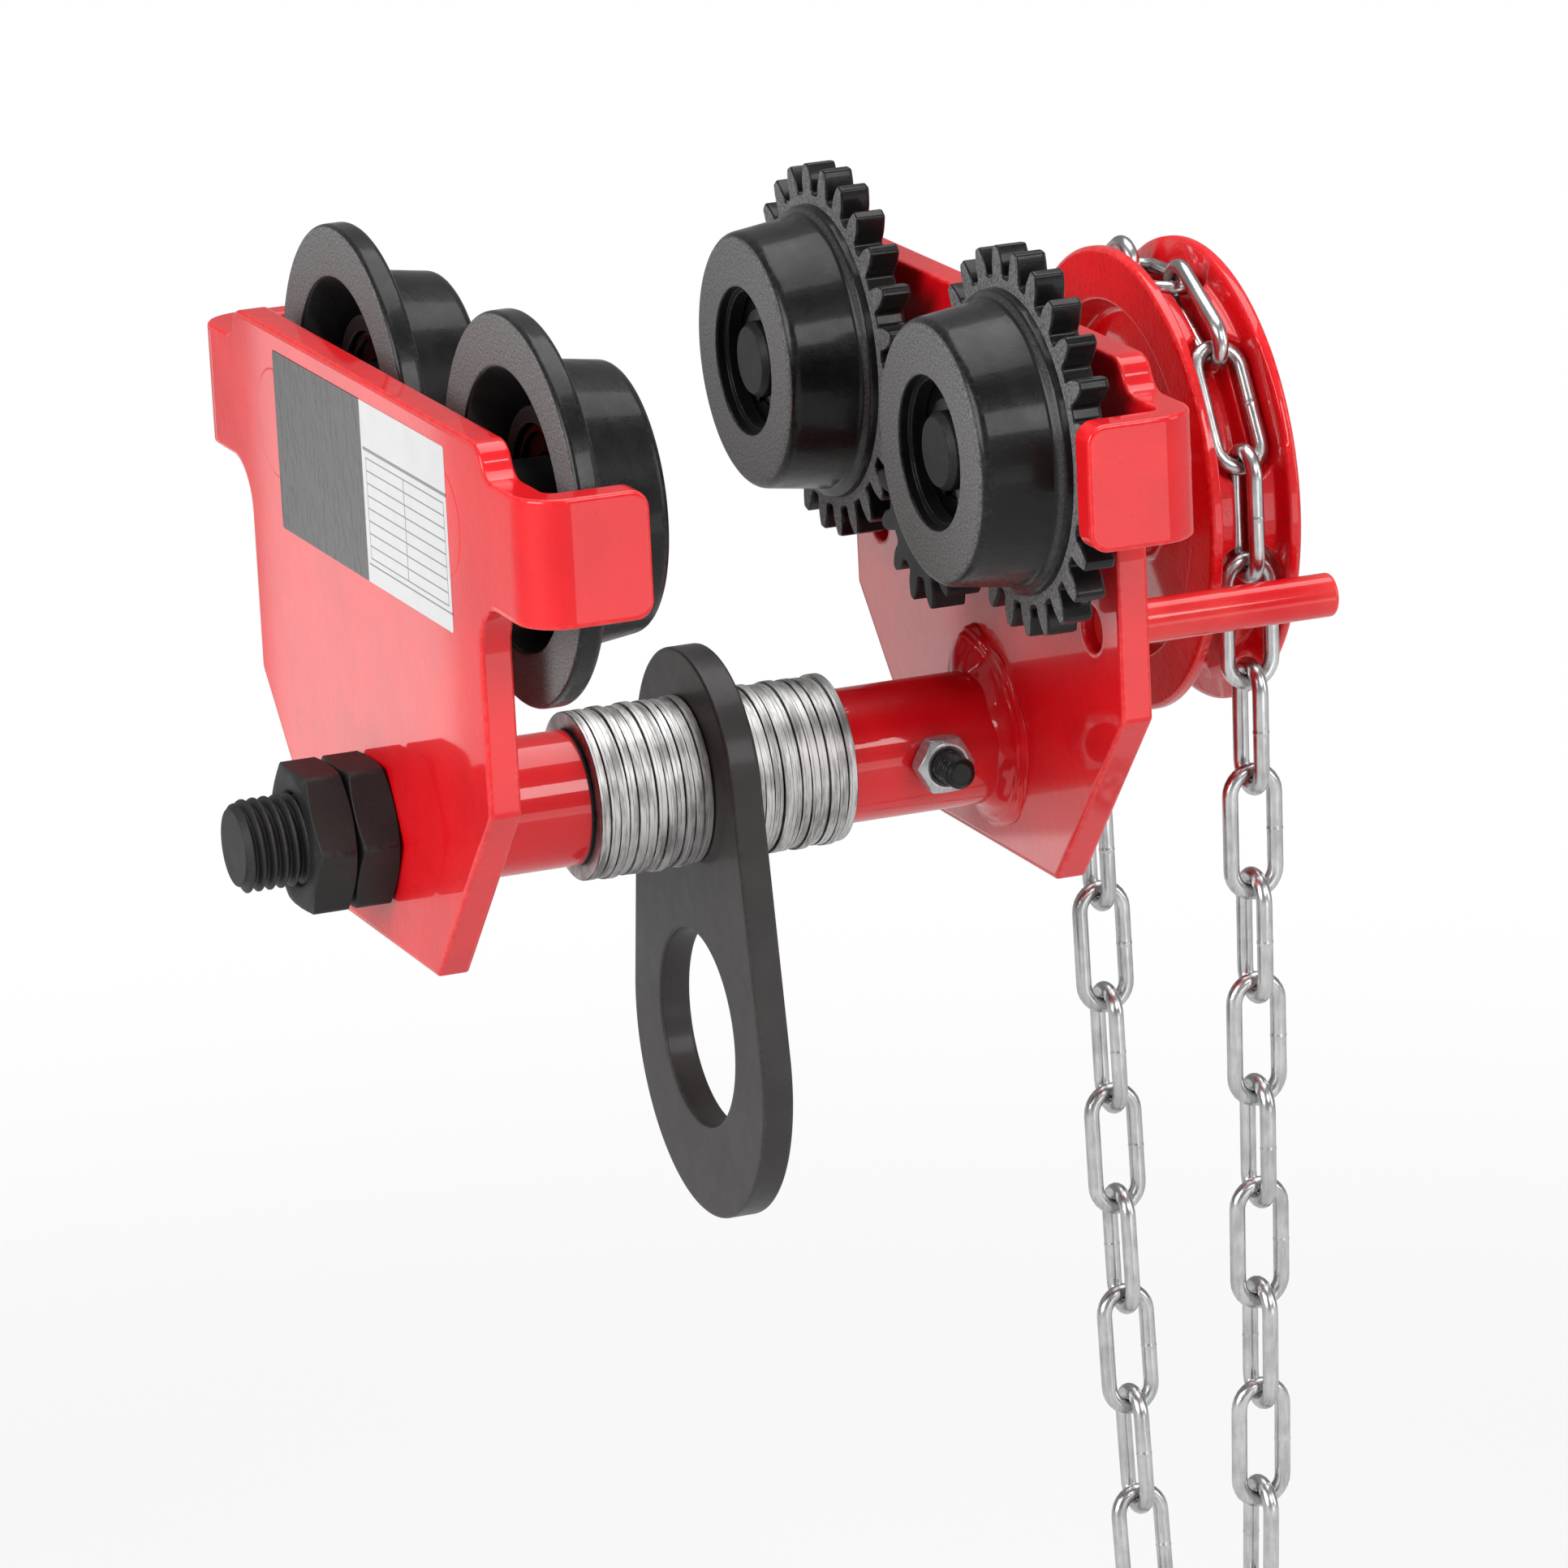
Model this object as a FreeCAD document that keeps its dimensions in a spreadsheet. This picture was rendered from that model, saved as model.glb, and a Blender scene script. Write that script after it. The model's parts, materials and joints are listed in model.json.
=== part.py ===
import FreeCAD, Part
import math
import os
from types import SimpleNamespace

import Sketcher

# Geared beam trolley. Millimetres. X runs along the load bar from the plain side plate to the
# geared one, Y runs along the beam and Z points up. The origin is on the beam's running surface,
# half way between the four wheels.

DIMENSIONS = [
    # side plates and their rolled-in ears
    ("plate_gap", 135.2),
    ("plate_thickness", 7.0),
    ("plate_top", 50.7),
    ("plate_top_half", 74.5),
    ("plate_edge", 73.5),
    ("plate_knee", 29.3),
    ("plate_bottom", 73.3),
    ("plate_bottom_half", 34.0),
    ("ear_high", 43.7),
    ("ear_low", 16.7),
    ("ear_shoulder_run", 11.0),
    ("ear_notch_radius", 11.0),
    ("ear_face", 106.0),
    ("ear_bend_radius", 3.0),
    ("ear_reach", 26.5),
    ("ear_corner_radius", 4.0),
    # load bar, its sleeves, spacers and nuts
    ("bar_drop", 48.3),
    ("bar_radius", 10.0),
    ("bar_left_overhang", 32.5),
    ("bar_right_overhang", 3.5),
    ("bar_chamfer", 1.6),
    ("bar_hole_clearance", 0.3),
    ("left_sleeve_length", 37.3),
    ("sleeve_radius", 14.8),
    ("sleeve_bore_clearance", 0.5),
    ("spacer_radius", 18.5),
    ("spacer_bore_radius", 10.5),
    ("spacer_thickness", 2.15),
    ("spacer_count", 12),
    ("nut_flats", 30.0),
    ("nut_thickness", 9.6),
    ("nut_bore_clearance", 0.05),
    ("nut_chamfer_radius", 15.4),
    ("nut_chamfer_depth", 1.3),
    ("weld_leg", 6.0),
    # cross bolt through the right sleeve and the bar
    ("cross_bolt_inset", 18.5),
    ("cross_bolt_radius", 3.5),
    ("cross_bolt_overhang", 8.0),
    ("cross_bolt_chamfer", 0.8),
    ("cross_bolt_clearance", 0.1),
    ("cross_nut_flats", 11.0),
    ("cross_nut_thickness", 5.5),
    ("cross_nut_chamfer", 0.7),
    ("cross_head_thickness", 4.8),
    # load plate that hangs on the bar
    ("load_plate_thickness", 7.0),
    ("load_plate_side_gap", 0.15),
    ("load_plate_play", 0.6),
    ("load_plate_top_radius", 29.0),
    ("load_plate_bottom_radius", 38.4),
    ("load_plate_bottom_drop", 60.0),
    ("load_hole_radius", 22.0),
    ("load_hole_drop", 56.0),
    # wheels
    ("wheelbase", 106.0),
    ("wheel_axis_height", 29.7),
    ("wheel_reach", 33.1),
    ("tread_length", 18.8),
    ("tread_small_radius", 28.4),
    ("tread_large_radius", 31.0),
    ("tread_edge_chamfer", 1.6),
    ("flange_radius", 41.5),
    ("flange_thickness", 5.7),
    ("flange_edge_chamfer", 0.9),
    ("face_recess_radius", 16.5),
    ("face_recess_depth", 2.4),
    ("bearing_lip_radius", 15.3),
    ("wheel_web", 9.0),
    ("hub_radius", 21.0),
    ("dish_floor_radius", 26.0),
    ("dish_mouth_radius", 30.0),
    # gears
    ("pinion_drop", 24.765),
    ("pressure_angle", 20.0),
    ("gear_teeth", 26),
    ("pinion_teeth", 13),
    ("gear_addendum", 2.7),
    ("pinion_addendum", 3.0),
    ("gear_root_clearance", 0.75),
    ("tooth_thinning", 0.25),
    ("gear_width", 7.0),
    ("gear_rim_depth", 5.0),
    ("gear_bead_width", 1.8),
    ("tooth_end_chamfer", 1.1),
    ("pinion_width", 7.8),
    ("pinion_tooth_angle", 90.0),
    # wheel bearings and their rings
    ("bearing_start", 5.8),
    ("bearing_radius", 17.5),
    ("bearing_width", 10.0),
    ("bearing_inner_wall", 2.1),
    ("bearing_fit", 0.02),
    ("running_gap", 0.3),
    ("retaining_ring_width", 1.2),
    ("retaining_ring_wall", 2.6),
    ("retaining_ring_bite", 0.7),
    ("ring_groove_play", 0.1),
    ("hub_end_wall", 1.2),
    # wheel axles
    ("axle_radius", 8.5),
    ("axle_collar_radius", 10.4),
    ("axle_end_recess", 1.5),
    ("axle_end_chamfer", 1.4),
    ("axle_head_radius", 12.4),
    ("axle_head_depth", 3.6),
    ("axle_head_inset", 0.25),
    ("circlip_width", 1.1),
    ("circlip_wall", 3.2),
    ("circlip_bite", 0.6),
    ("circlip_mouth", 5.0),
    # drive shaft, its boss, bush, key and ring
    ("shaft_radius", 8.0),
    ("shaft_collar_radius", 12.0),
    ("shaft_fit", 0.05),
    ("shaft_end_length", 4.5),
    ("shaft_chamfer", 1.0),
    ("bush_wall", 2.5),
    ("bush_flange_radius", 13.5),
    ("bush_flange_thickness", 1.2),
    ("boss_wall", 4.5),
    ("boss_length", 19.0),
    ("key_width", 5.0),
    ("key_height", 5.0),
    ("key_length", 18.0),
    ("key_seat_depth", 3.0),
    ("key_clearance", 0.05),
    # hand chain wheel
    ("hand_wheel_standoff", 25.2),
    ("hand_wheel_rim_radius", 51.2),
    ("hand_wheel_rim_width", 2.95),
    ("hand_wheel_rim_chamfer", 0.9),
    ("hand_wheel_pad_rise", 2.8),
    ("hand_wheel_ring_radius", 39.6),
    ("hand_wheel_dish_depth", 6.5),
    ("hand_wheel_dish_draft", 2.0),
    ("hand_wheel_hub_radius", 15.0),
    ("hand_wheel_hub_front", 5.5),
    ("hand_wheel_hub_back", 2.0),
    ("pocket_count", 6),
    ("pocket_clearance", 0.75),
    ("pocket_floor_gap", 0.3),
    ("slot_width", 5.2),
    ("slot_floor_gap", 0.8),
    # hand chain
    ("link_wire", 3.5),
    ("link_width", 14.0),
    ("link_length", 31.0),
    ("link_play", 0.2),
    ("strand_links", 14),
    # guide rods beside the hand chain
    ("rod_radius", 4.75),
    ("rod_spread", 59.0),
    ("rod_height", 11.8),
    ("rod_outreach", 49.0),
    ("rod_recess", 2.5),
    ("rod_recess_radius", 5.75),
    ("rod_fit", 0.05),
    ("rod_chamfer", 0.8),
]

doc = FreeCAD.newDocument("BeamTrolley")
sheet = doc.addObject("Spreadsheet::Sheet", "Sizes")


class Size:
    """A number that also carries the spreadsheet expression it comes from."""

    def __init__(self, number, text):
        self.number = float(number)
        self.text = text

    def __add__(self, other):
        return combine(self, "+", other)

    def __radd__(self, other):
        return combine(other, "+", self)

    def __sub__(self, other):
        return combine(self, "-", other)

    def __rsub__(self, other):
        return combine(other, "-", self)

    def __mul__(self, other):
        return combine(self, "*", other)

    def __rmul__(self, other):
        return combine(other, "*", self)

    def __truediv__(self, other):
        return combine(self, "/", other)

    def __rtruediv__(self, other):
        return combine(other, "/", self)

    def __neg__(self):
        return combine(0.0, "-", self)


def as_size(value):
    return value if isinstance(value, Size) else Size(value, repr(float(value)))


def combine(left, sign, right):
    left, right = as_size(left), as_size(right)
    numbers = {
        "+": lambda a, b: a + b,
        "-": lambda a, b: a - b,
        "*": lambda a, b: a * b,
        "/": lambda a, b: a / b,
    }
    number = numbers[sign](left.number, right.number)
    return Size(number, f"({left.text} {sign} {right.text})")


def root(size):
    return Size(math.sqrt(size.number), f"sqrt({size.text})")


def write_sheet():
    """Fill the sheet with the driving dimensions and return them as sizes."""
    values = {}
    for row, (alias, value) in enumerate(DIMENSIONS, start=1):
        sheet.set(f"A{row}", alias)
        sheet.set(f"B{row}", str(value))
        sheet.setAlias(f"B{row}", alias)
        values[alias] = Size(value, f"Sizes.{alias}")
    doc.recompute()
    return SimpleNamespace(**values)


d = write_sheet()

# Places that several pieces share.
half_gap = d.plate_gap / 2
plate_outer = half_gap + d.plate_thickness
half_wheelbase = d.wheelbase / 2
wheel_face = half_gap - d.wheel_reach
wheel_height = d.wheel_axis_height
bearing_end = d.bearing_start + d.bearing_width
hub_end = bearing_end + d.retaining_ring_width + d.hub_end_wall
plate_bore = d.bar_radius + d.bar_hole_clearance
cross_bolt_x = half_gap - d.cross_bolt_inset

# Along the load bar, from the left plate to the right one.
spacer_stack = d.spacer_thickness * d.spacer_count
left_stack_start = d.left_sleeve_length - half_gap
load_plate_x = left_stack_start + spacer_stack + d.load_plate_side_gap + d.load_plate_thickness / 2
right_stack_start = left_stack_start + spacer_stack + d.load_plate_thickness + d.load_plate_play
right_sleeve_start = right_stack_start + spacer_stack

# Gear train: two wheels driven by one pinion that hangs between and below them.
centre_distance = root(half_wheelbase * half_wheelbase + d.pinion_drop * d.pinion_drop)
gear_module = 2 * centre_distance / (d.gear_teeth + d.pinion_teeth)
gear_pitch = gear_module * d.gear_teeth / 2
pinion_pitch = gear_module * d.pinion_teeth / 2
pinion_height = wheel_height - d.pinion_drop
gear_tip = gear_pitch + d.gear_addendum
pinion_tip = pinion_pitch + d.pinion_addendum
gear_root = centre_distance - pinion_tip - d.gear_root_clearance
pinion_root = centre_distance - gear_tip - d.gear_root_clearance
gear_middle = wheel_face + d.tread_length + d.gear_width / 2
pinion_face = gear_middle - d.pinion_width / 2

# Drive shaft and hand wheel.
bush_radius = d.shaft_radius + d.bush_wall
hand_wheel_x = plate_outer + d.hand_wheel_standoff
groove_width = d.link_width + 2 * d.pocket_clearance
hand_wheel_width = groove_width + 2 * d.hand_wheel_rim_width
hub_front_x = hand_wheel_x - d.hand_wheel_hub_front
hub_back_x = hand_wheel_x + hand_wheel_width + d.hand_wheel_hub_back
chain_x = hand_wheel_x + hand_wheel_width / 2


# ---------------------------------------------------------------- drawing helpers


def vector(x, y, z=0.0):
    return FreeCAD.Vector(as_size(x).number, as_size(y).number, as_size(z).number)


def bind(thing, prop, size):
    thing.setExpression(prop, as_size(size).text)


def place(thing, x=0.0, y=0.0, z=0.0, turn=None):
    """Bind a piece's place to sizes; turn is a fixed rotation."""
    thing.Placement = FreeCAD.Placement(vector(x, y, z), turn or FreeCAD.Rotation())
    bind(thing, "Placement.Base.x", x)
    bind(thing, "Placement.Base.y", y)
    bind(thing, "Placement.Base.z", z)


ABOUT_FACE = FreeCAD.Rotation(vector(0, 0, 1), 180)
ALONG_X = FreeCAD.Rotation(vector(0, 1, 0), 90)
ALONG_Y = FreeCAD.Rotation(vector(0, 0, 1), 90)
FULL_TURN = 360.0


def new_body(name):
    body = doc.addObject("PartDesign::Body", name)
    body.Label = name
    return body


def origin_feature(body, role):
    return next(f for f in body.Origin.OriginFeatures if f.Role == role)


def new_sketch(body, role="XY_Plane", offset=0.0):
    sketch = body.newObject("Sketcher::SketchObject", body.Name + "_sketch")
    sketch.AttachmentSupport = [(origin_feature(body, role), "")]
    sketch.MapMode = "FlatFace"
    bind(sketch, "AttachmentOffset.Base.z", offset)
    return sketch


def arc_between(start, end, radius):
    """Arc of at most half a turn; a positive radius turns left on its way from start to end."""
    chord = end - start
    reach = math.sqrt(max(radius * radius - chord.Length**2 / 4, 0.0))
    left = vector(-chord.y, chord.x).normalize()
    centre = (start + end) / 2 + left * math.copysign(reach, radius)
    first, last = (start, end) if radius > 0 else (end, start)
    angles = [math.atan2(p.y - centre.y, p.x - centre.x) for p in (first, last)]
    if angles[1] < angles[0]:
        angles[1] += 2 * math.pi
    circle = Part.Circle(centre, vector(0, 0, 1), abs(radius))
    return Part.ArcOfCircle(circle, *angles)


def constrain(sketch, kind, places, size):
    index = sketch.addConstraint(Sketcher.Constraint(kind, *places, as_size(size).number))
    bind(sketch, f"Constraints[{index}]", size)


def draw_outline(sketch, corners):
    """Draw a closed outline. A corner is (x, y), or (x, y, bend) where bend is the radius of the
    arc that leads on to the next corner, positive when it turns left."""
    first = sketch.GeometryCount
    points = [vector(*corner[:2]) for corner in corners]
    ends = []
    for number, corner in enumerate(corners):
        start, end = points[number], points[(number + 1) % len(points)]
        bend = as_size(corner[2]).number if len(corner) > 2 else 0.0
        sketch.addGeometry(
            arc_between(start, end, bend) if bend else Part.LineSegment(start, end)
        )
        ends.append((2, 1) if bend < 0 else (1, 2))
    for number, corner in enumerate(corners):
        line, following = first + number, (number + 1) % len(corners)
        begin, finish = ends[number]
        sketch.addConstraint(
            Sketcher.Constraint("Coincident", line, finish, first + following, ends[following][0])
        )
        constrain(sketch, "DistanceX", (-1, 1, line, begin), corner[0])
        constrain(sketch, "DistanceY", (-1, 1, line, begin), corner[1])
        if len(corner) > 2:
            radius = corner[2] if as_size(corner[2]).number > 0 else -corner[2]
            constrain(sketch, "Radius", (line,), radius)


def draw_circle(sketch, x, y, radius):
    circle = Part.Circle(vector(x, y), vector(0, 0, 1), as_size(radius).number)
    index = sketch.addGeometry(circle)
    constrain(sketch, "DistanceX", (-1, 1, index, 3), x)
    constrain(sketch, "DistanceY", (-1, 1, index, 3), y)
    constrain(sketch, "Radius", (index,), radius)


def box_corners(left, low, right, high):
    return [(left, low), (right, low), (right, high), (left, high)]


def extrude(body, kind, sketch, length, reverse=False):
    feature = body.newObject(f"PartDesign::{kind}", f"{body.Name}_{kind}")
    feature.Profile = sketch
    bind(feature, "Length", length)
    feature.Reversed = reverse
    return feature


def spin(body, kind, sketch):
    """Revolution or Groove of a sketch about its own horizontal axis."""
    feature = body.newObject(f"PartDesign::{kind}", f"{body.Name}_{kind}")
    feature.Profile = sketch
    feature.ReferenceAxis = (sketch, ["H_Axis"])
    feature.Angle = FULL_TURN
    return feature


def turned_piece(name, corners):
    """A body turned about its X axis: corners are (x, radius)."""
    body = new_body(name)
    sketch = new_sketch(body)
    draw_outline(sketch, corners)
    spin(body, "Revolution", sketch)
    return body


def ring_corners(start, end, inner, outer):
    return box_corners(start, inner, end, outer)


def polar_pattern(body, feature, count):
    pattern = body.newObject("PartDesign::PolarPattern", f"{body.Name}_pattern")
    pattern.Originals = [feature]
    pattern.Axis = (origin_feature(body, "X_Axis"), [""])
    pattern.Angle = FULL_TURN
    bind(pattern, "Occurrences", count)
    body.Tip = pattern


def mirrored(body, features):
    mirror = body.newObject("PartDesign::Mirrored", f"{body.Name}_mirror")
    mirror.Originals = features
    mirror.MirrorPlane = (origin_feature(body, "XZ_Plane"), [""])
    body.Tip = mirror


def solid_feature(name, shape):
    """A piece whose shape is made with Part's own functions."""
    feature = doc.addObject("Part::Feature", name)
    feature.Label = name
    feature.Shape = shape
    return feature


# ---------------------------------------------------------------- side plates


def plate_half_outline():
    """Half of a side plate's outline, from the middle of its top to the middle of its bottom."""
    shoulder_drop = d.plate_top - d.ear_high
    half_run, half_drop = d.ear_shoulder_run / 2, shoulder_drop / 2
    shoulder = (half_run * half_run + half_drop * half_drop) / shoulder_drop
    bend_start = d.ear_face - d.plate_thickness - d.ear_bend_radius
    notch_y = d.plate_edge + d.ear_notch_radius
    return [
        (d.plate_top_half, d.plate_top, -shoulder),
        (d.plate_top_half + half_run, d.plate_top - half_drop, shoulder),
        (d.plate_top_half + d.ear_shoulder_run, d.ear_high),
        (bend_start, d.ear_high),
        (bend_start, d.ear_low),
        (notch_y, d.ear_low, d.ear_notch_radius),
        (d.plate_edge, d.ear_low - d.ear_notch_radius),
        (d.plate_edge, -d.plate_knee),
        (d.plate_bottom_half, -d.plate_bottom),
    ]


def mirrored_corners(corners):
    """The same corners on the other side of the middle, in the order that closes the outline."""
    result = []
    for number in reversed(range(len(corners))):
        y, z = corners[number][:2]
        before = corners[number - 1] if number else ()
        result.append((-y, z, before[2]) if len(before) > 2 else (-y, z))
    return result


def add_ear(body):
    """The quarter bend at the plate's end and the flange behind it; local +X points inwards."""
    outer_radius = d.plate_thickness + d.ear_bend_radius
    bend_start = d.ear_face - outer_radius
    bend = new_sketch(body, "XY_Plane", d.ear_low)
    draw_outline(
        bend,
        [
            (0.0, bend_start),
            (d.plate_thickness, bend_start, -d.ear_bend_radius),
            (outer_radius, d.ear_face - d.plate_thickness),
            (outer_radius, d.ear_face, outer_radius),
        ],
    )
    bend_pad = extrude(body, "Pad", bend, d.ear_high - d.ear_low)
    flange = new_sketch(body, "XZ_Plane", -d.ear_face)
    corner = d.ear_corner_radius
    draw_outline(
        flange,
        [
            (outer_radius, d.ear_low),
            (d.ear_reach - corner, d.ear_low, corner),
            (d.ear_reach, d.ear_low + corner),
            (d.ear_reach, d.ear_high - corner, corner),
            (d.ear_reach - corner, d.ear_high),
            (outer_radius, d.ear_high),
        ],
    )
    return [bend_pad, extrude(body, "Pad", flange, d.plate_thickness)]


def side_plate(name, driven):
    """Plate with local X from its outer face inwards; the driven one also takes shaft and rods."""
    body = new_body(name)
    outline = new_sketch(body, "YZ_Plane")
    half = plate_half_outline()
    draw_outline(outline, half + mirrored_corners(half))
    extrude(body, "Pad", outline, d.plate_thickness)
    mirrored(body, add_ear(body))

    holes = new_sketch(body, "YZ_Plane")
    draw_circle(holes, 0.0, -d.bar_drop, plate_bore)
    for side in (-1, 1):
        draw_circle(holes, side * half_wheelbase, wheel_height, d.axle_radius)
    if driven:
        draw_circle(holes, 0.0, pinion_height, bush_radius + d.bearing_fit)
        for side in (-1, 1):
            draw_circle(holes, side * d.rod_spread, -d.rod_height, d.rod_radius + d.rod_fit)
    extrude(body, "Pocket", holes, d.plate_thickness, reverse=True)

    for side in (-1, 1):
        countersink(body, side)
    if driven:
        recesses = new_sketch(body, "YZ_Plane", d.plate_thickness)
        for side in (-1, 1):
            draw_circle(recesses, side * d.rod_spread, -d.rod_height, d.rod_recess_radius)
        extrude(body, "Pocket", recesses, d.rod_recess)
        place(body, x=plate_outer, turn=ABOUT_FACE)
    else:
        place(body, x=-plate_outer)
    return body


def countersink(body, side):
    """Conical seat for a riveted axle head, turned about the axle's line."""
    sketch = new_sketch(body, "XY_Plane", wheel_height)
    middle = side * half_wheelbase
    draw_outline(
        sketch,
        [
            (0.0, middle),
            (d.axle_head_depth, middle),
            (d.axle_head_depth, middle + d.axle_radius),
            (0.0, middle + d.axle_head_radius),
        ],
    )
    groove = body.newObject("PartDesign::Groove", f"{body.Name}_countersink")
    groove.Profile = sketch
    groove.ReferenceAxis = (sketch, ["Edge1"])
    groove.Angle = FULL_TURN


# ---------------------------------------------------------------- load bar and what is on it


def load_bar():
    left, right = -(plate_outer + d.bar_left_overhang), plate_outer + d.bar_right_overhang
    radius, chamfer = d.bar_radius, d.bar_chamfer
    body = turned_piece(
        "load_bar",
        [
            (left, 0.0),
            (right, 0.0),
            (right, radius - chamfer),
            (right - chamfer, radius),
            (left + chamfer, radius),
            (left, radius - chamfer),
        ],
    )
    cross_hole(body, radius)
    place(body, z=-d.bar_drop)
    return body


def cross_hole(body, radius):
    """Hole for the cross bolt along Y, right through a body turned about X."""
    hole = new_sketch(body, "XZ_Plane", -radius)
    draw_circle(hole, cross_bolt_x, 0.0, d.cross_bolt_radius + d.cross_bolt_clearance)
    extrude(body, "Pocket", hole, 2 * radius, reverse=True)


def sleeve(name, start, end, bolted):
    bore = d.bar_radius + d.sleeve_bore_clearance
    body = turned_piece(name, ring_corners(start, end, bore, d.sleeve_radius))
    if bolted:
        cross_hole(body, d.sleeve_radius)
    place(body, z=-d.bar_drop)
    return body


def sleeve_weld():
    """Fillet weld between the right sleeve and its plate."""
    body = turned_piece(
        "sleeve_weld",
        [
            (half_gap, d.sleeve_radius),
            (half_gap, d.sleeve_radius + d.weld_leg),
            (half_gap - d.weld_leg, d.sleeve_radius),
        ],
    )
    place(body, z=-d.bar_drop)
    return body


def spacers(name, start):
    """A stack of loose washers; each has dropped or slid a little, within its play on the bar."""
    play = (d.spacer_bore_radius - d.bar_radius).number * 0.9
    golden_turn = math.radians(137.5)
    thickness = d.spacer_thickness.number
    outline = Part.makeCylinder(d.spacer_radius.number, thickness, vector(0, 0), vector(1, 0))
    bore = Part.makeCylinder(d.spacer_bore_radius.number, thickness, vector(0, 0), vector(1, 0))
    washer = outline.cut(bore)
    shapes = []
    for number in range(int(d.spacer_count.number)):
        copy = washer.copy()
        turn = golden_turn * number
        offset = vector(thickness * number, play * math.cos(turn), play * math.sin(turn))
        copy.translate(offset)
        shapes.append(copy)
    group = solid_feature(name, Part.makeCompound(shapes))
    place(group, x=start, z=-d.bar_drop)
    return group


def hexagon(sketch, flats):
    """Hexagon about the sketch's origin with two corners on its horizontal axis."""
    radius = flats / root(Size(3.0, "3.0"))
    half = flats / 2
    draw_outline(
        sketch,
        [
            (radius, 0.0),
            (radius / 2, half),
            (-radius / 2, half),
            (-radius, 0.0),
            (-radius / 2, -half),
            (radius / 2, -half),
        ],
    )


def hex_piece(name, flats, thickness, bore, chamfer, corner_start):
    """Hexagonal nut or bolt head along local X, its outer end turned down at the corners."""
    body = new_body(name)
    sketch = new_sketch(body, "YZ_Plane")
    hexagon(sketch, flats)
    if bore is not None:
        draw_circle(sketch, 0.0, 0.0, bore)
    extrude(body, "Pad", sketch, thickness)
    corner = flats / root(Size(3.0, "3.0"))
    cut = new_sketch(body)
    outside = corner + chamfer
    draw_outline(cut, [(0.0, corner_start), (0.0, outside), (chamfer, outside)])
    spin(body, "Groove", cut)
    return body


def bar_nut(name, number):
    """Thin nut on the bar's thread, the first one against the plate."""
    nut = hex_piece(
        name,
        d.nut_flats,
        d.nut_thickness,
        d.bar_radius + d.nut_bore_clearance,
        d.nut_chamfer_depth,
        d.nut_chamfer_radius - d.nut_chamfer_depth,
    )
    place(nut, x=-(plate_outer + number * d.nut_thickness), z=-d.bar_drop)
    return nut


def cross_bolt():
    """Bolt along Y through sleeve and bar; its head is at the rear."""
    head_start = d.sleeve_radius
    tip = head_start + d.cross_nut_thickness + d.cross_bolt_overhang
    radius, chamfer = d.cross_bolt_radius, d.cross_bolt_chamfer
    head = hex_piece(
        "cross_bolt_head",
        d.cross_nut_flats,
        d.cross_head_thickness,
        None,
        d.cross_nut_chamfer,
        d.cross_nut_flats / 2 - d.cross_nut_chamfer / 2,
    )
    place(head, x=head_start + d.cross_head_thickness, turn=ABOUT_FACE)
    shank = turned_piece(
        "cross_bolt_shank",
        [
            (-tip, 0.0),
            (head_start, 0.0),
            (head_start, radius),
            (chamfer - tip, radius),
            (-tip, radius - chamfer),
        ],
    )
    bolt = doc.addObject("Part::MultiFuse", "cross_bolt")
    bolt.Shapes = [head, shank]
    place(bolt, x=cross_bolt_x, z=-d.bar_drop, turn=ALONG_Y)
    return bolt


def cross_bolt_nut():
    nut = hex_piece(
        "cross_bolt_nut",
        d.cross_nut_flats,
        d.cross_nut_thickness,
        d.cross_bolt_radius + d.nut_bore_clearance,
        d.cross_nut_chamfer,
        d.cross_nut_flats / 2 - d.cross_nut_chamfer / 2,
    )
    place(nut, x=cross_bolt_x, y=-(d.sleeve_radius + d.cross_nut_thickness), z=-d.bar_drop, turn=ALONG_Y)
    return nut


def load_plate():
    """Hanging plate: two arcs joined by their common tangents, with the bar and load holes."""
    top, bottom = d.load_plate_top_radius, d.load_plate_bottom_radius
    drop = d.load_plate_bottom_drop
    sine = (bottom - top) / drop
    cosine = root(1.0 - sine * sine)
    low = -(drop - bottom * sine)
    body = new_body("load_plate")
    sketch = new_sketch(body, "YZ_Plane", -d.load_plate_thickness / 2)
    draw_outline(
        sketch,
        [
            (top * cosine, top * sine, top),
            (-(top * cosine), top * sine),
            (-(bottom * cosine), low, bottom),
            (0.0, -(drop + bottom), bottom),
            (bottom * cosine, low),
        ],
    )
    draw_circle(sketch, 0.0, 0.0, d.bar_radius + d.running_gap)
    draw_circle(sketch, 0.0, -d.load_hole_drop, d.load_hole_radius)
    extrude(body, "Pad", sketch, d.load_plate_thickness)
    place(body, x=load_plate_x, z=-d.bar_drop)
    return body


# ---------------------------------------------------------------- gears


def involute(angle):
    return math.tan(angle) - angle


def tooth_outline(teeth, pitch_radius, tip_radius, root_radius):
    """Half of the angle a tooth spans at a few radii, from its root to its tip."""
    pressure = math.radians(d.pressure_angle.number)
    base_radius = pitch_radius * math.cos(pressure)
    arc = math.pi * gear_module.number / 2 - d.tooth_thinning.number
    half_at_pitch = arc / (2 * pitch_radius)
    start = max(base_radius, root_radius)
    radii = [start, (start + tip_radius) / 2, tip_radius]
    halves = [
        half_at_pitch + involute(pressure) - involute(math.acos(base_radius / radius))
        for radius in radii
    ]
    return radii, halves


def polar(radius, angle):
    """Point at an angle from +Y towards +Z, in the plane of the gears."""
    return vector(0, radius * math.cos(angle), radius * math.sin(angle))


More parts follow.
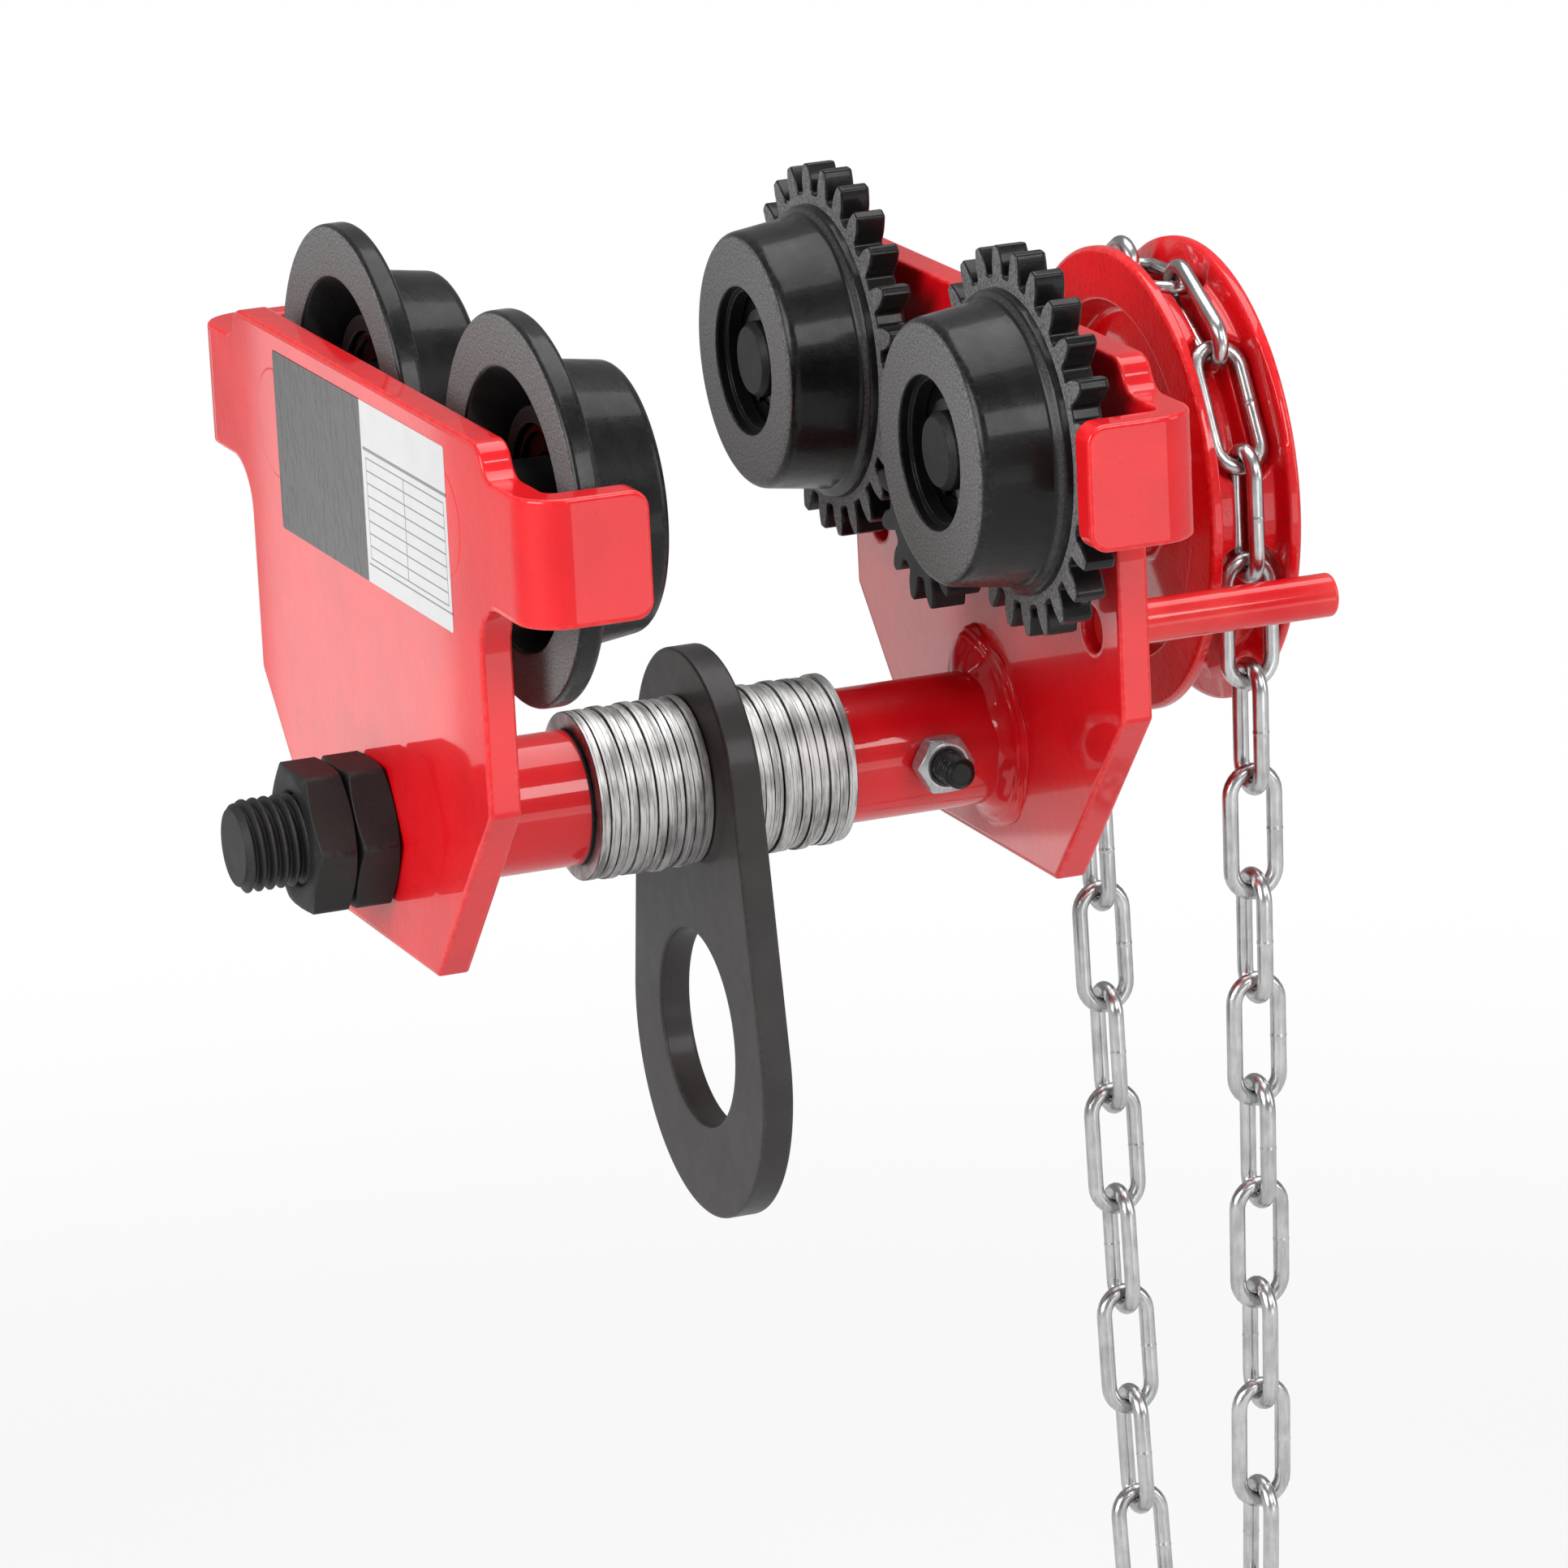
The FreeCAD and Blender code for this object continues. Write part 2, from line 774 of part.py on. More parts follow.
def toothed_wire(teeth, pitch_radius, tip_radius, root_radius, first_tooth):
    """Closed outline of a gear: radial roots, involute flanks as arcs, round tips and bottoms."""
    radii, halves = tooth_outline(teeth, pitch_radius, tip_radius, root_radius)
    pitch = 2 * math.pi / teeth
    edges = []
    for number in range(teeth):
        middle = math.radians(first_tooth) + pitch * number
        rise = [polar(r, middle - h) for r, h in zip(radii, halves)]
        fall = [polar(r, middle + h) for r, h in zip(radii, halves)][::-1]
        foot = polar(root_radius, middle - halves[0])
        end = polar(root_radius, middle + halves[0])
        bottom = polar(root_radius, middle + pitch / 2)
        next_foot = polar(root_radius, middle + pitch - halves[0])
        edges += [
            Part.makeLine(foot, rise[0]),
            Part.Arc(*rise).toShape(),
            Part.Arc(rise[-1], polar(tip_radius, middle), fall[0]).toShape(),
            Part.Arc(*fall).toShape(),
            Part.makeLine(fall[-1], end),
            Part.Arc(end, bottom, next_foot).toShape(),
        ]
    return Part.Wire(Part.__sortEdges__(edges))


def tooth_ring(name, teeth, pitch, tip, root_circle, bore, first_tooth, width, start):
    """Ring of teeth along X whose ends are turned down to a chamfer at the tips."""
    sizes = [size.number for size in (pitch, tip, root_circle)]
    chamfer = d.tooth_end_chamfer.number
    axis = vector(1, 0)
    depth = width.number
    teeth_face = Part.Face(toothed_wire(teeth, *sizes, first_tooth))
    core = Part.makeCylinder(bore.number, depth, vector(0, 0), axis)
    ring = teeth_face.extrude(vector(width, 0)).cut(core)
    tip_radius = tip.number
    blank = Part.makePolygon(
        [
            vector(0, 0),
            vector(depth, 0),
            vector(depth, tip_radius - chamfer),
            vector(depth - chamfer, tip_radius + chamfer * 0.1),
            vector(chamfer, tip_radius + chamfer * 0.1),
            vector(0, tip_radius - chamfer),
            vector(0, 0),
        ]
    )
    turned = Part.Face(blank).revolve(vector(0, 0), axis, FULL_TURN)
    feature = solid_feature(name, ring.common(turned))
    place(feature, x=start)
    return feature


def first_gear_tooth(side):
    """Angle of a wheel gear's first tooth so that one of its gaps takes the pinion's tooth."""
    line = math.degrees(math.atan2(d.pinion_drop.number, side * half_wheelbase.number))
    offset = d.pinion_tooth_angle.number - line
    ratio = d.pinion_teeth.number / d.gear_teeth.number
    half_pitch = FULL_TURN / d.gear_teeth.number / 2
    return line + FULL_TURN / 2 - offset * ratio + half_pitch


# ---------------------------------------------------------------- wheels


def hub_corners():
    """Plate side of a wheel from its dish to its face recess: hub, ring groove, seat and lip."""
    groove = d.bearing_radius + d.retaining_ring_bite + d.ring_groove_play
    groove_end = bearing_end + d.retaining_ring_width + d.ring_groove_play
    return [
        (d.wheel_web, d.dish_floor_radius),
        (d.wheel_web, d.hub_radius),
        (hub_end, d.hub_radius),
        (hub_end, d.bearing_radius),
        (groove_end, d.bearing_radius),
        (groove_end, groove),
        (bearing_end, groove),
        (bearing_end, d.bearing_radius),
        (d.bearing_start, d.bearing_radius),
        (d.bearing_start, d.bearing_lip_radius),
        (d.face_recess_depth, d.bearing_lip_radius),
        (d.face_recess_depth, d.face_recess_radius),
        (0.0, d.face_recess_radius),
    ]


def tread_corners():
    """Wheel face and tread, wider towards the flange as the beam's flange tapers."""
    edge = d.tread_edge_chamfer
    return [(0.0, d.tread_small_radius - edge), (edge, d.tread_small_radius)]


def plain_wheel(name, side):
    """Flanged wheel; local X runs from its face towards the side plate."""
    back = d.tread_length + d.flange_thickness
    edge = d.flange_edge_chamfer
    corners = tread_corners() + [
        (d.tread_length, d.tread_large_radius),
        (d.tread_length, d.flange_radius - edge),
        (d.tread_length + edge, d.flange_radius),
        (back - edge, d.flange_radius),
        (back, d.flange_radius - edge),
        (back, d.dish_mouth_radius),
    ]
    body = turned_piece(name, corners + hub_corners())
    place(body, x=-wheel_face, y=side * half_wheelbase, z=wheel_height, turn=ABOUT_FACE)
    return body


def geared_wheel(name, side):
    """Wheel whose flange is a gear, with a cast bead where the tread meets it."""
    back = d.tread_length + d.gear_width
    bead = d.gear_bead_width
    rim = gear_root - d.gear_rim_depth / 2
    corners = tread_corners() + [
        (d.tread_length - bead, d.tread_large_radius),
        (d.tread_length, d.tread_large_radius + bead),
        (d.tread_length, rim),
        (back, rim),
        (back, d.dish_mouth_radius),
    ]
    blank = turned_piece(name + "_blank", corners + hub_corners())
    ring = tooth_ring(
        name + "_teeth",
        int(d.gear_teeth.number),
        gear_pitch,
        gear_tip,
        gear_root,
        gear_root - d.gear_rim_depth,
        first_gear_tooth(side),
        d.gear_width,
        d.tread_length,
    )
    wheel = doc.addObject("Part::MultiFuse", name)
    wheel.Shapes = [blank, ring]
    wheel.Refine = True
    place(wheel, x=wheel_face, y=side * half_wheelbase, z=wheel_height)
    return wheel


def wheel_fittings(end, side, where):
    """Bearing rings, retaining ring, circlip and axle of one wheel; where names it."""
    inner_bore = d.axle_radius + d.bearing_fit
    inner_rim = inner_bore + d.bearing_inner_wall
    start = d.bearing_start
    seat = d.bearing_radius - d.bearing_fit
    seal = inner_rim + d.running_gap
    outer = turned_piece("bearing_outer_" + where, ring_corners(start, bearing_end, seal, seat))
    inner = turned_piece(
        "bearing_inner_" + where, ring_corners(start, bearing_end, inner_bore, inner_rim)
    )
    ring_outer = d.bearing_radius + d.retaining_ring_bite
    retaining = turned_piece(
        "retaining_ring_" + where,
        ring_corners(
            bearing_end,
            bearing_end + d.retaining_ring_width,
            ring_outer - d.retaining_ring_wall,
            ring_outer,
        ),
    )
    pieces = [outer, inner, retaining, circlip("axle_circlip_" + where), axle("axle_" + where)]
    face = wheel_face if end > 0 else -wheel_face
    turn = None if end > 0 else ABOUT_FACE
    for piece in pieces:
        place(piece, x=face, y=side * half_wheelbase, z=wheel_height, turn=turn)
    return pieces


def circlip(name):
    """Open spring ring in the axle's groove, its mouth at the bottom."""
    inner = d.axle_radius - d.circlip_bite + d.bearing_fit
    body = new_body(name)
    sketch = new_sketch(body, "YZ_Plane", d.bearing_start - d.ring_groove_play - d.circlip_width)
    draw_circle(sketch, 0.0, 0.0, inner)
    draw_circle(sketch, 0.0, 0.0, inner + d.circlip_wall)
    extrude(body, "Pad", sketch, d.circlip_width)
    mouth = new_sketch(body, "YZ_Plane", d.bearing_start)
    half = d.circlip_mouth / 2
    draw_outline(mouth, box_corners(-half, -(inner + 2 * d.circlip_wall), half, 0.0))
    extrude(body, "Pocket", mouth, d.circlip_width * 2)
    return body


def axle(name):
    """Riveted axle in the wheel's frame: chamfered end, circlip groove, seat, collar, head."""
    groove_start = d.bearing_start - 2 * d.ring_groove_play - d.circlip_width
    groove_end = groove_start + d.circlip_width + 2 * d.ring_groove_play
    groove = d.axle_radius - d.circlip_bite
    plate_inner = d.wheel_reach
    head = plate_inner + d.plate_thickness - d.axle_head_inset
    neck = plate_inner + d.plate_thickness - d.axle_head_depth
    slope = (d.axle_head_radius - d.axle_radius) / d.axle_head_depth
    top = d.axle_head_radius - slope * d.axle_head_inset
    tip = d.axle_end_recess
    chamfer = d.axle_end_chamfer
    return turned_piece(
        name,
        [
            (tip, 0.0),
            (tip, d.axle_radius - chamfer),
            (tip + chamfer, d.axle_radius),
            (groove_start, d.axle_radius),
            (groove_start, groove),
            (groove_end, groove),
            (groove_end, d.axle_radius),
            (bearing_end, d.axle_radius),
            (bearing_end, d.axle_collar_radius),
            (plate_inner, d.axle_collar_radius),
            (plate_inner, d.axle_radius),
            (neck, d.axle_radius),
            (head, top),
            (head, 0.0),
        ],
    )


# ---------------------------------------------------------------- hand drive


def drive_shaft():
    """Pinion and shaft in one piece, with a key seat under the hand wheel."""
    collar_end = half_gap - d.bush_flange_thickness - d.running_gap
    end = hub_back_x + d.shaft_end_length
    groove_start = hub_back_x
    groove_end = groove_start + d.circlip_width + d.ring_groove_play
    groove = d.shaft_radius - d.circlip_bite
    chamfer = d.shaft_chamfer
    blank = turned_piece(
        "drive_shaft_blank",
        [
            (pinion_face, 0.0),
            (end, 0.0),
            (end, d.shaft_radius - chamfer),
            (end - chamfer, d.shaft_radius),
            (groove_end, d.shaft_radius),
            (groove_end, groove),
            (groove_start, groove),
            (groove_start, d.shaft_radius),
            (collar_end, d.shaft_radius),
            (collar_end, d.shaft_collar_radius),
            (pinion_face, d.shaft_collar_radius),
        ],
    )
    seat = new_sketch(blank, "XY_Plane", d.shaft_radius)
    draw_outline(seat, key_corners(0.0))
    extrude(blank, "Pocket", seat, d.key_seat_depth)
    teeth = tooth_ring(
        "drive_shaft_teeth",
        int(d.pinion_teeth.number),
        pinion_pitch,
        pinion_tip,
        pinion_root,
        d.shaft_radius,
        d.pinion_tooth_angle.number,
        d.pinion_width,
        pinion_face,
    )
    shaft = doc.addObject("Part::MultiFuse", "drive_shaft")
    shaft.Shapes = [blank, teeth]
    shaft.Refine = True
    place(shaft, z=pinion_height)
    return shaft


def key_corners(clearance):
    """Outline of the key seen from above, centred in the hand wheel's hub."""
    middle = (hub_front_x + hub_back_x) / 2
    half_length = d.key_length / 2 + clearance
    half_width = d.key_width / 2 + clearance
    return box_corners(middle - half_length, -half_width, middle + half_length, half_width)


def drive_key():
    body = new_body("drive_key")
    bottom = d.shaft_radius - d.key_seat_depth
    sketch = new_sketch(body, "XY_Plane", bottom)
    draw_outline(sketch, key_corners(-d.key_clearance))
    extrude(body, "Pad", sketch, d.key_height)
    place(body, z=pinion_height)
    return body


def shaft_ring():
    inner = d.shaft_radius - d.circlip_bite + d.bearing_fit
    start = hub_back_x + d.ring_groove_play / 2
    body = turned_piece(
        "shaft_circlip", ring_corners(start, start + d.circlip_width, inner, inner + d.circlip_wall)
    )
    place(body, z=pinion_height)
    return body


def shaft_bush():
    """Flanged bearing bush that runs through the plate and its boss."""
    bore = d.shaft_radius + d.shaft_fit
    inner_end = half_gap - d.bush_flange_thickness
    body = turned_piece(
        "shaft_bush",
        [
            (inner_end, bore),
            (plate_outer + d.boss_length, bore),
            (plate_outer + d.boss_length, bush_radius),
            (half_gap, bush_radius),
            (half_gap, d.bush_flange_radius),
            (inner_end, d.bush_flange_radius),
        ],
    )
    place(body, z=pinion_height)
    return body


def shaft_boss():
    bore = bush_radius + d.bearing_fit
    corners = ring_corners(plate_outer, plate_outer + d.boss_length, bore, bore + d.boss_wall)
    body = turned_piece("shaft_boss", corners)
    place(body, z=pinion_height)
    return body


def hand_chain_wheel(flat_radius, upright_radius):
    """Pocketed chain wheel: flat links lie in its pockets and upright ones run in its slot."""
    rim, width = d.hand_wheel_rim_width, hand_wheel_width
    edge = d.hand_wheel_rim_chamfer
    outer = d.hand_wheel_rim_radius
    pads = Size(flat_radius, flat_text()) + d.hand_wheel_pad_rise
    dish, draft = d.hand_wheel_dish_depth, d.hand_wheel_dish_draft
    hub = d.hand_wheel_hub_radius
    ring = d.hand_wheel_ring_radius
    bore = d.shaft_radius + d.bearing_fit
    body = turned_piece(
        "hand_chain_wheel",
        [
            (-d.hand_wheel_hub_front, bore),
            (width + d.hand_wheel_hub_back, bore),
            (width + d.hand_wheel_hub_back, hub),
            (width - dish, hub + draft),
            (width - dish, ring - draft),
            (width, ring),
            (width, outer - edge),
            (width - edge, outer),
            (width - rim + edge, outer),
            (width - rim, outer - edge),
            (width - rim, pads),
            (rim, pads),
            (rim, outer - edge),
            (rim - edge, outer),
            (edge, outer),
            (0.0, outer - edge),
            (0.0, ring),
            (dish, ring - draft),
            (dish, hub + draft),
            (-d.hand_wheel_hub_front, hub),
        ],
    )
    slot = new_sketch(body)
    half_slot = d.slot_width / 2
    slot_floor = Size(upright_radius, upright_text()) - d.link_width / 2 - d.slot_floor_gap
    draw_outline(slot, box_corners(width / 2 - half_slot, slot_floor, width / 2 + half_slot, outer))
    spin(body, "Groove", slot)
    pocket = pocket_cut(body, width / 2, outer, Size(flat_radius, flat_text()))
    polar_pattern(body, pocket, d.pocket_count)
    keyway = new_sketch(body, "XY_Plane", d.shaft_radius - d.key_seat_depth)
    half_key = d.key_width / 2 + d.key_clearance
    hub_start, hub_stop = -d.hand_wheel_hub_front, width + d.hand_wheel_hub_back
    draw_outline(keyway, box_corners(hub_start, -half_key, hub_stop, half_key))
    cut = extrude(body, "Pocket", keyway, d.key_height + d.key_clearance, reverse=True)
    body.Tip = cut
    place(body, x=hand_wheel_x, z=pinion_height)
    return body


def pocket_cut(body, middle, outer, flat_radius):
    """One pocket in the shape of a flat link, sunk along the radius."""
    floor = flat_radius - d.link_wire / 2 - d.pocket_floor_gap
    sketch = new_sketch(body, "XY_Plane", floor)
    half_width = d.link_width / 2 + d.pocket_clearance
    straight = d.link_length / 2 - d.link_width / 2
    draw_outline(
        sketch,
        [
            (middle + half_width, straight, half_width),
            (middle, straight + half_width, half_width),
            (middle - half_width, straight),
            (middle - half_width, -straight, half_width),
            (middle, -(straight + half_width), half_width),
            (middle + half_width, -straight),
        ],
    )
    return extrude(body, "Pocket", sketch, outer - floor, reverse=True)


# ---------------------------------------------------------------- hand chain

LINK_SIDES = 8
PLAY_LIMIT = 1e-9


def link_reaches():
    """Half of a link's straight leg, its wire's radius round the bow, and how far a neighbour's
    wire can move inside the bow before the two touch."""
    wire, play = d.link_wire.number, d.link_play.number
    bow = (d.link_width.number - wire) / 2
    leg = (d.link_length.number - d.link_width.number) / 2
    return leg, bow, bow - wire - play


def wheel_pitch_radii():
    """Radii at which flat and upright links ride when they bend by one even angle per link."""
    leg, bow, slack = link_reaches()
    bend = math.pi / d.pocket_count.number
    flat = (leg + slack * math.cos(bend / 2) + (leg + bow) * math.cos(bend)) / math.sin(bend)
    upright = slack * math.sin(bend / 2) + (leg + bow) * math.sin(bend) + flat * math.cos(bend)
    return flat, upright


def flat_text():
    """The spreadsheet expression of the flat links' radius."""
    leg, bow, slack, bend = chain_terms()
    return f"(({leg} + {slack} * cos({bend} / 2) + ({leg} + {bow}) * cos({bend})) / sin({bend}))"


def upright_text():
    """The spreadsheet expression of the upright links' radius."""
    leg, bow, slack, bend = chain_terms()
    return f"({slack} * sin({bend} / 2) + ({leg} + {bow}) * sin({bend}) + {flat_text()} * cos({bend}))"


def chain_terms():
    bow = (d.link_width - d.link_wire) / 2
    leg = (d.link_length - d.link_width) / 2
    slack = bow - d.link_wire - d.link_play
    return leg.text, bow.text, slack.text, f"(180 deg / {d.pocket_count.text})"


def link_step(direction, next_direction, upright):
    """From one link's centre to the next one's. The wires meet inside the upright link's bow, on
    the line of the pull, which halves the bend between the two."""
    leg, bow, slack = link_reaches()
    pull = (direction + next_direction).normalize()
    first, second = (leg, leg + bow) if upright else (leg + bow, leg)
    return direction * first + pull * slack + next_direction * second


def hanging_links(start, weight_ratio):
    """One strand from the wheel down to the lowest link: a chain that hangs by its own weight,
    so the tangent of each link's slope grows evenly from the bottom, by weight_ratio per link."""
    count = int(d.strand_links.number)
    centre, direction, upright = start, vector(0, 0, -1), True
    links = []
    for number in range(count, -1, -1):
        slope = math.atan(number * weight_ratio)
        following = vector(0, math.cos(slope), -math.sin(slope))
        centre = centre + link_step(direction, following, upright)
        direction, upright = following, not upright
        links.append((centre, direction, upright))
    return links


def settled_strand(start):
    """The strand whose lowest link ends up half way between the two sides."""
    low, high = 0.1, 50.0
    while high - low > PLAY_LIMIT:
        ratio = (low + high) / 2
        overshoot = hanging_links(start, ratio)[-1][0].y
        low, high = (ratio, high) if overshoot > 0 else (low, ratio)
    return hanging_links(start, high)


def wheel_links(flat_radius, upright_radius):
    """Links on the upper half of the wheel, from the front strand over to the rear one."""
    bend = math.pi / d.pocket_count.number
    links = []
    for number in range(int(d.pocket_count.number) + 1):
        angle = math.pi - bend * number
        upright = number % 2 == 0
        radius = upright_radius if upright else flat_radius
        outwards = vector(0, math.cos(angle), math.sin(angle))
        along = vector(0, math.sin(angle), -math.cos(angle))
        links.append((outwards * radius, along, upright))
    return links


def link_solid():
    """One link lying flat along X: an octagonal wire bent round eight mitred corners, so that it
    has few faces; its outside is the round link's."""
    leg, bow, _ = link_reaches()
    wire = d.link_wire.number / 2
    half_turn = math.pi / LINK_SIDES
    shift = bow * math.tan(half_turn)
    corner_wire = wire / math.cos(half_turn / 2)
    rings = []
    for number in range(LINK_SIDES):
        middle = half_turn + 2 * half_turn * number
        outwards = vector(math.cos(middle), math.sin(middle))
        reach = bow / math.cos(half_turn)
        corner = outwards * reach + vector(math.copysign(leg, outwards.x), 0)
        ring = []
        for side in range(LINK_SIDES):
            turn = half_turn + 2 * half_turn * side
            across = corner_wire * math.cos(turn) / math.cos(half_turn)
            ring.append(corner + outwards * across + vector(0, 0, corner_wire * math.sin(turn)))
        rings.append(ring)
    faces = []
    for number in range(LINK_SIDES):
        near, far = rings[number - 1], rings[number]
        for side in range(LINK_SIDES):
            corners = [near[side - 1], near[side], far[side], far[side - 1], near[side - 1]]
            faces.append(Part.Face(Part.makePolygon(corners)))
    solid = Part.Solid(Part.Shell(faces))
    if solid.Volume < 0:
        solid.reverse()
    return solid


def chain_piece(name, links):
    """A run of links as one group of separate solids."""
    link = link_solid()
    shapes = []
    for centre, direction, upright in links:
        side = direction.cross(vector(1, 0)) if upright else vector(1, 0)
        normal = direction.cross(side)
        frame = FreeCAD.Matrix(
            direction.x, side.x, normal.x, centre.x,
            direction.y, side.y, normal.y, centre.y,
            direction.z, side.z, normal.z, centre.z,
            0, 0, 0, 1,
        )
        shapes.append(link.transformed(frame, copy=True))
    piece = solid_feature(name, Part.makeCompound(shapes))
    place(piece, x=chain_x, z=pinion_height)
    return piece


def mirrored_links(links):
    return [
        (vector(0, -c.y, c.z), vector(0, -u.y, u.z), upright) for c, u, upright in links
    ]


def hand_chain(flat_radius, upright_radius):
    """Endless chain over the wheel: its top, two strands and the lowest link."""
    front = settled_strand(vector(0, -upright_radius, 0))
    return [
        chain_piece("hand_chain_top", wheel_links(flat_radius, upright_radius)),
        chain_piece("hand_chain_front", front[:-1]),
        chain_piece("hand_chain_rear", mirrored_links(front[:-1])),
        chain_piece("hand_chain_bottom", front[-1:]),
    ]


# ---------------------------------------------------------------- guide rods


def guide_rod(name, side):
    start = half_gap + d.rod_recess
    end = plate_outer + d.rod_outreach
    radius, chamfer = d.rod_radius, d.rod_chamfer
    body = turned_piece(
        name,
        [
            (start, 0.0),
            (end, 0.0),
            (end, radius - chamfer),
            (end - chamfer, radius),
            (start, radius),
        ],
    )
    place(body, y=side * d.rod_spread, z=-d.rod_height)
    return body


# ---------------------------------------------------------------- the whole trolley


def build():
    flat_radius, upright_radius = wheel_pitch_radii()
    nodes = [
        side_plate("left_side_plate", driven=False),
        side_plate("right_side_plate", driven=True),
        load_bar(),
        sleeve("left_sleeve", -half_gap, left_stack_start, bolted=False),
        sleeve("right_sleeve", right_sleeve_start, half_gap, bolted=True),
        sleeve_weld(),
        spacers("left_spacers", left_stack_start),
        spacers("right_spacers", right_stack_start),
        bar_nut("inner_nut", 1),
        bar_nut("outer_nut", 2),
        cross_bolt(),
        cross_bolt_nut(),
        load_plate(),
        drive_shaft(),
        drive_key(),
        shaft_ring(),
        shaft_bush(),
        shaft_boss(),
        hand_chain_wheel(flat_radius, upright_radius),
    ]
    for where, side in (("front", -1), ("rear", 1)):
        nodes.append(plain_wheel("plain_wheel_" + where, side))
        nodes.append(geared_wheel("geared_wheel_" + where, side))
        nodes += wheel_fittings(-1, side, "left_" + where)
        nodes += wheel_fittings(1, side, "right_" + where)
        nodes.append(guide_rod("guide_rod_" + where, side))
    return nodes + hand_chain(flat_radius, upright_radius)


def check(nodes):
    """Stop if any object failed or any sub-part is not a valid shape."""
    failed = [o.Label for o in doc.Objects if {"Invalid", "Error"} & set(o.State)]
    bad = [n.Label for n in nodes if n.Shape.isNull() or not n.Shape.isValid()]
    if failed or bad:
        raise RuntimeError(f"failed objects: {failed}; bad shapes: {bad}")


def export(nodes):
    os.makedirs("parts", exist_ok=True)
    for node in nodes:
        node.Shape.exportStep(os.path.join("parts", node.Label + ".step"))
        print(node.Label, len(node.Shape.Solids), round(node.Shape.Volume, 1))


def main():
    nodes = build()
    doc.recompute()
    check(nodes)
    export(nodes)


main()
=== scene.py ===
import json
import math

import bmesh
import bpy
import numpy as np
from mathutils import Matrix, Vector
from mathutils.geometry import delaunay_2d_cdt


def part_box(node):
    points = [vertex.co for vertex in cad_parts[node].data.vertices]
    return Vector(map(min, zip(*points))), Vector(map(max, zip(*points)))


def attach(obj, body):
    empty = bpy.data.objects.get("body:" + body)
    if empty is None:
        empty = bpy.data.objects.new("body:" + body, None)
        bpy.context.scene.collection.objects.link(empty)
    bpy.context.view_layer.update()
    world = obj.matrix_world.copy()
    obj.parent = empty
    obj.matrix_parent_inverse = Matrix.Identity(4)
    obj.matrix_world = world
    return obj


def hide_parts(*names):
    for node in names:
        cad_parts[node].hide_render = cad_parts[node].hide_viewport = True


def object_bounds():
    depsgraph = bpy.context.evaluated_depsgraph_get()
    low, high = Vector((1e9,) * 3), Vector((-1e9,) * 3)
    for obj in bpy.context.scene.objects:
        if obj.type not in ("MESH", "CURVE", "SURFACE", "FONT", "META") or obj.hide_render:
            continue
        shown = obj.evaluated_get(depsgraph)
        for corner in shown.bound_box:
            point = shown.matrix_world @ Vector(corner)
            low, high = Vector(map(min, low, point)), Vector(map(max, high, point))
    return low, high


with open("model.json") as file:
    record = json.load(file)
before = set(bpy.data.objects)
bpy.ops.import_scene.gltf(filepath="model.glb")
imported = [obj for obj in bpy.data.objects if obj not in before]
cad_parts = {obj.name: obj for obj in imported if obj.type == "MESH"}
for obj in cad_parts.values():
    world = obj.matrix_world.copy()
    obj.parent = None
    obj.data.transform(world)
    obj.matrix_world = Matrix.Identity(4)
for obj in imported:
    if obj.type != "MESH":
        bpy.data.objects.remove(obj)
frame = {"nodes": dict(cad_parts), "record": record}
cad_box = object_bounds()

MM = 0.001
TINY = 1e-9
record = frame["record"]
body_of = {n: b for b, nodes in record["behaviour"]["bodies"].items() for n in nodes}
slot_of = {part["node"]: part["material_slot"] for part in record["subparts"]}


def span(node):
    """Lowest and highest corner of a CAD node, in millimetres."""
    low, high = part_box(node)
    return np.array(low) / MM, np.array(high) / MM


def middle(node):
    low, high = span(node)
    return (low + high) / 2


def length(node):
    low, high = span(node)
    return high[0] - low[0]


# ---- profiles and outlines


def even_angles(count):
    """Even angles round a full turn, from 0 up."""
    return np.arange(count) * (2 * math.pi / count)


def cross(first, second):
    """Above 0 where the second direction lies anticlockwise of the first."""
    return first[:, 0] * second[:, 1] - first[:, 1] * second[:, 0]


def unit(directions):
    return directions / np.maximum(np.linalg.norm(directions, axis=1), TINY)[:, None]


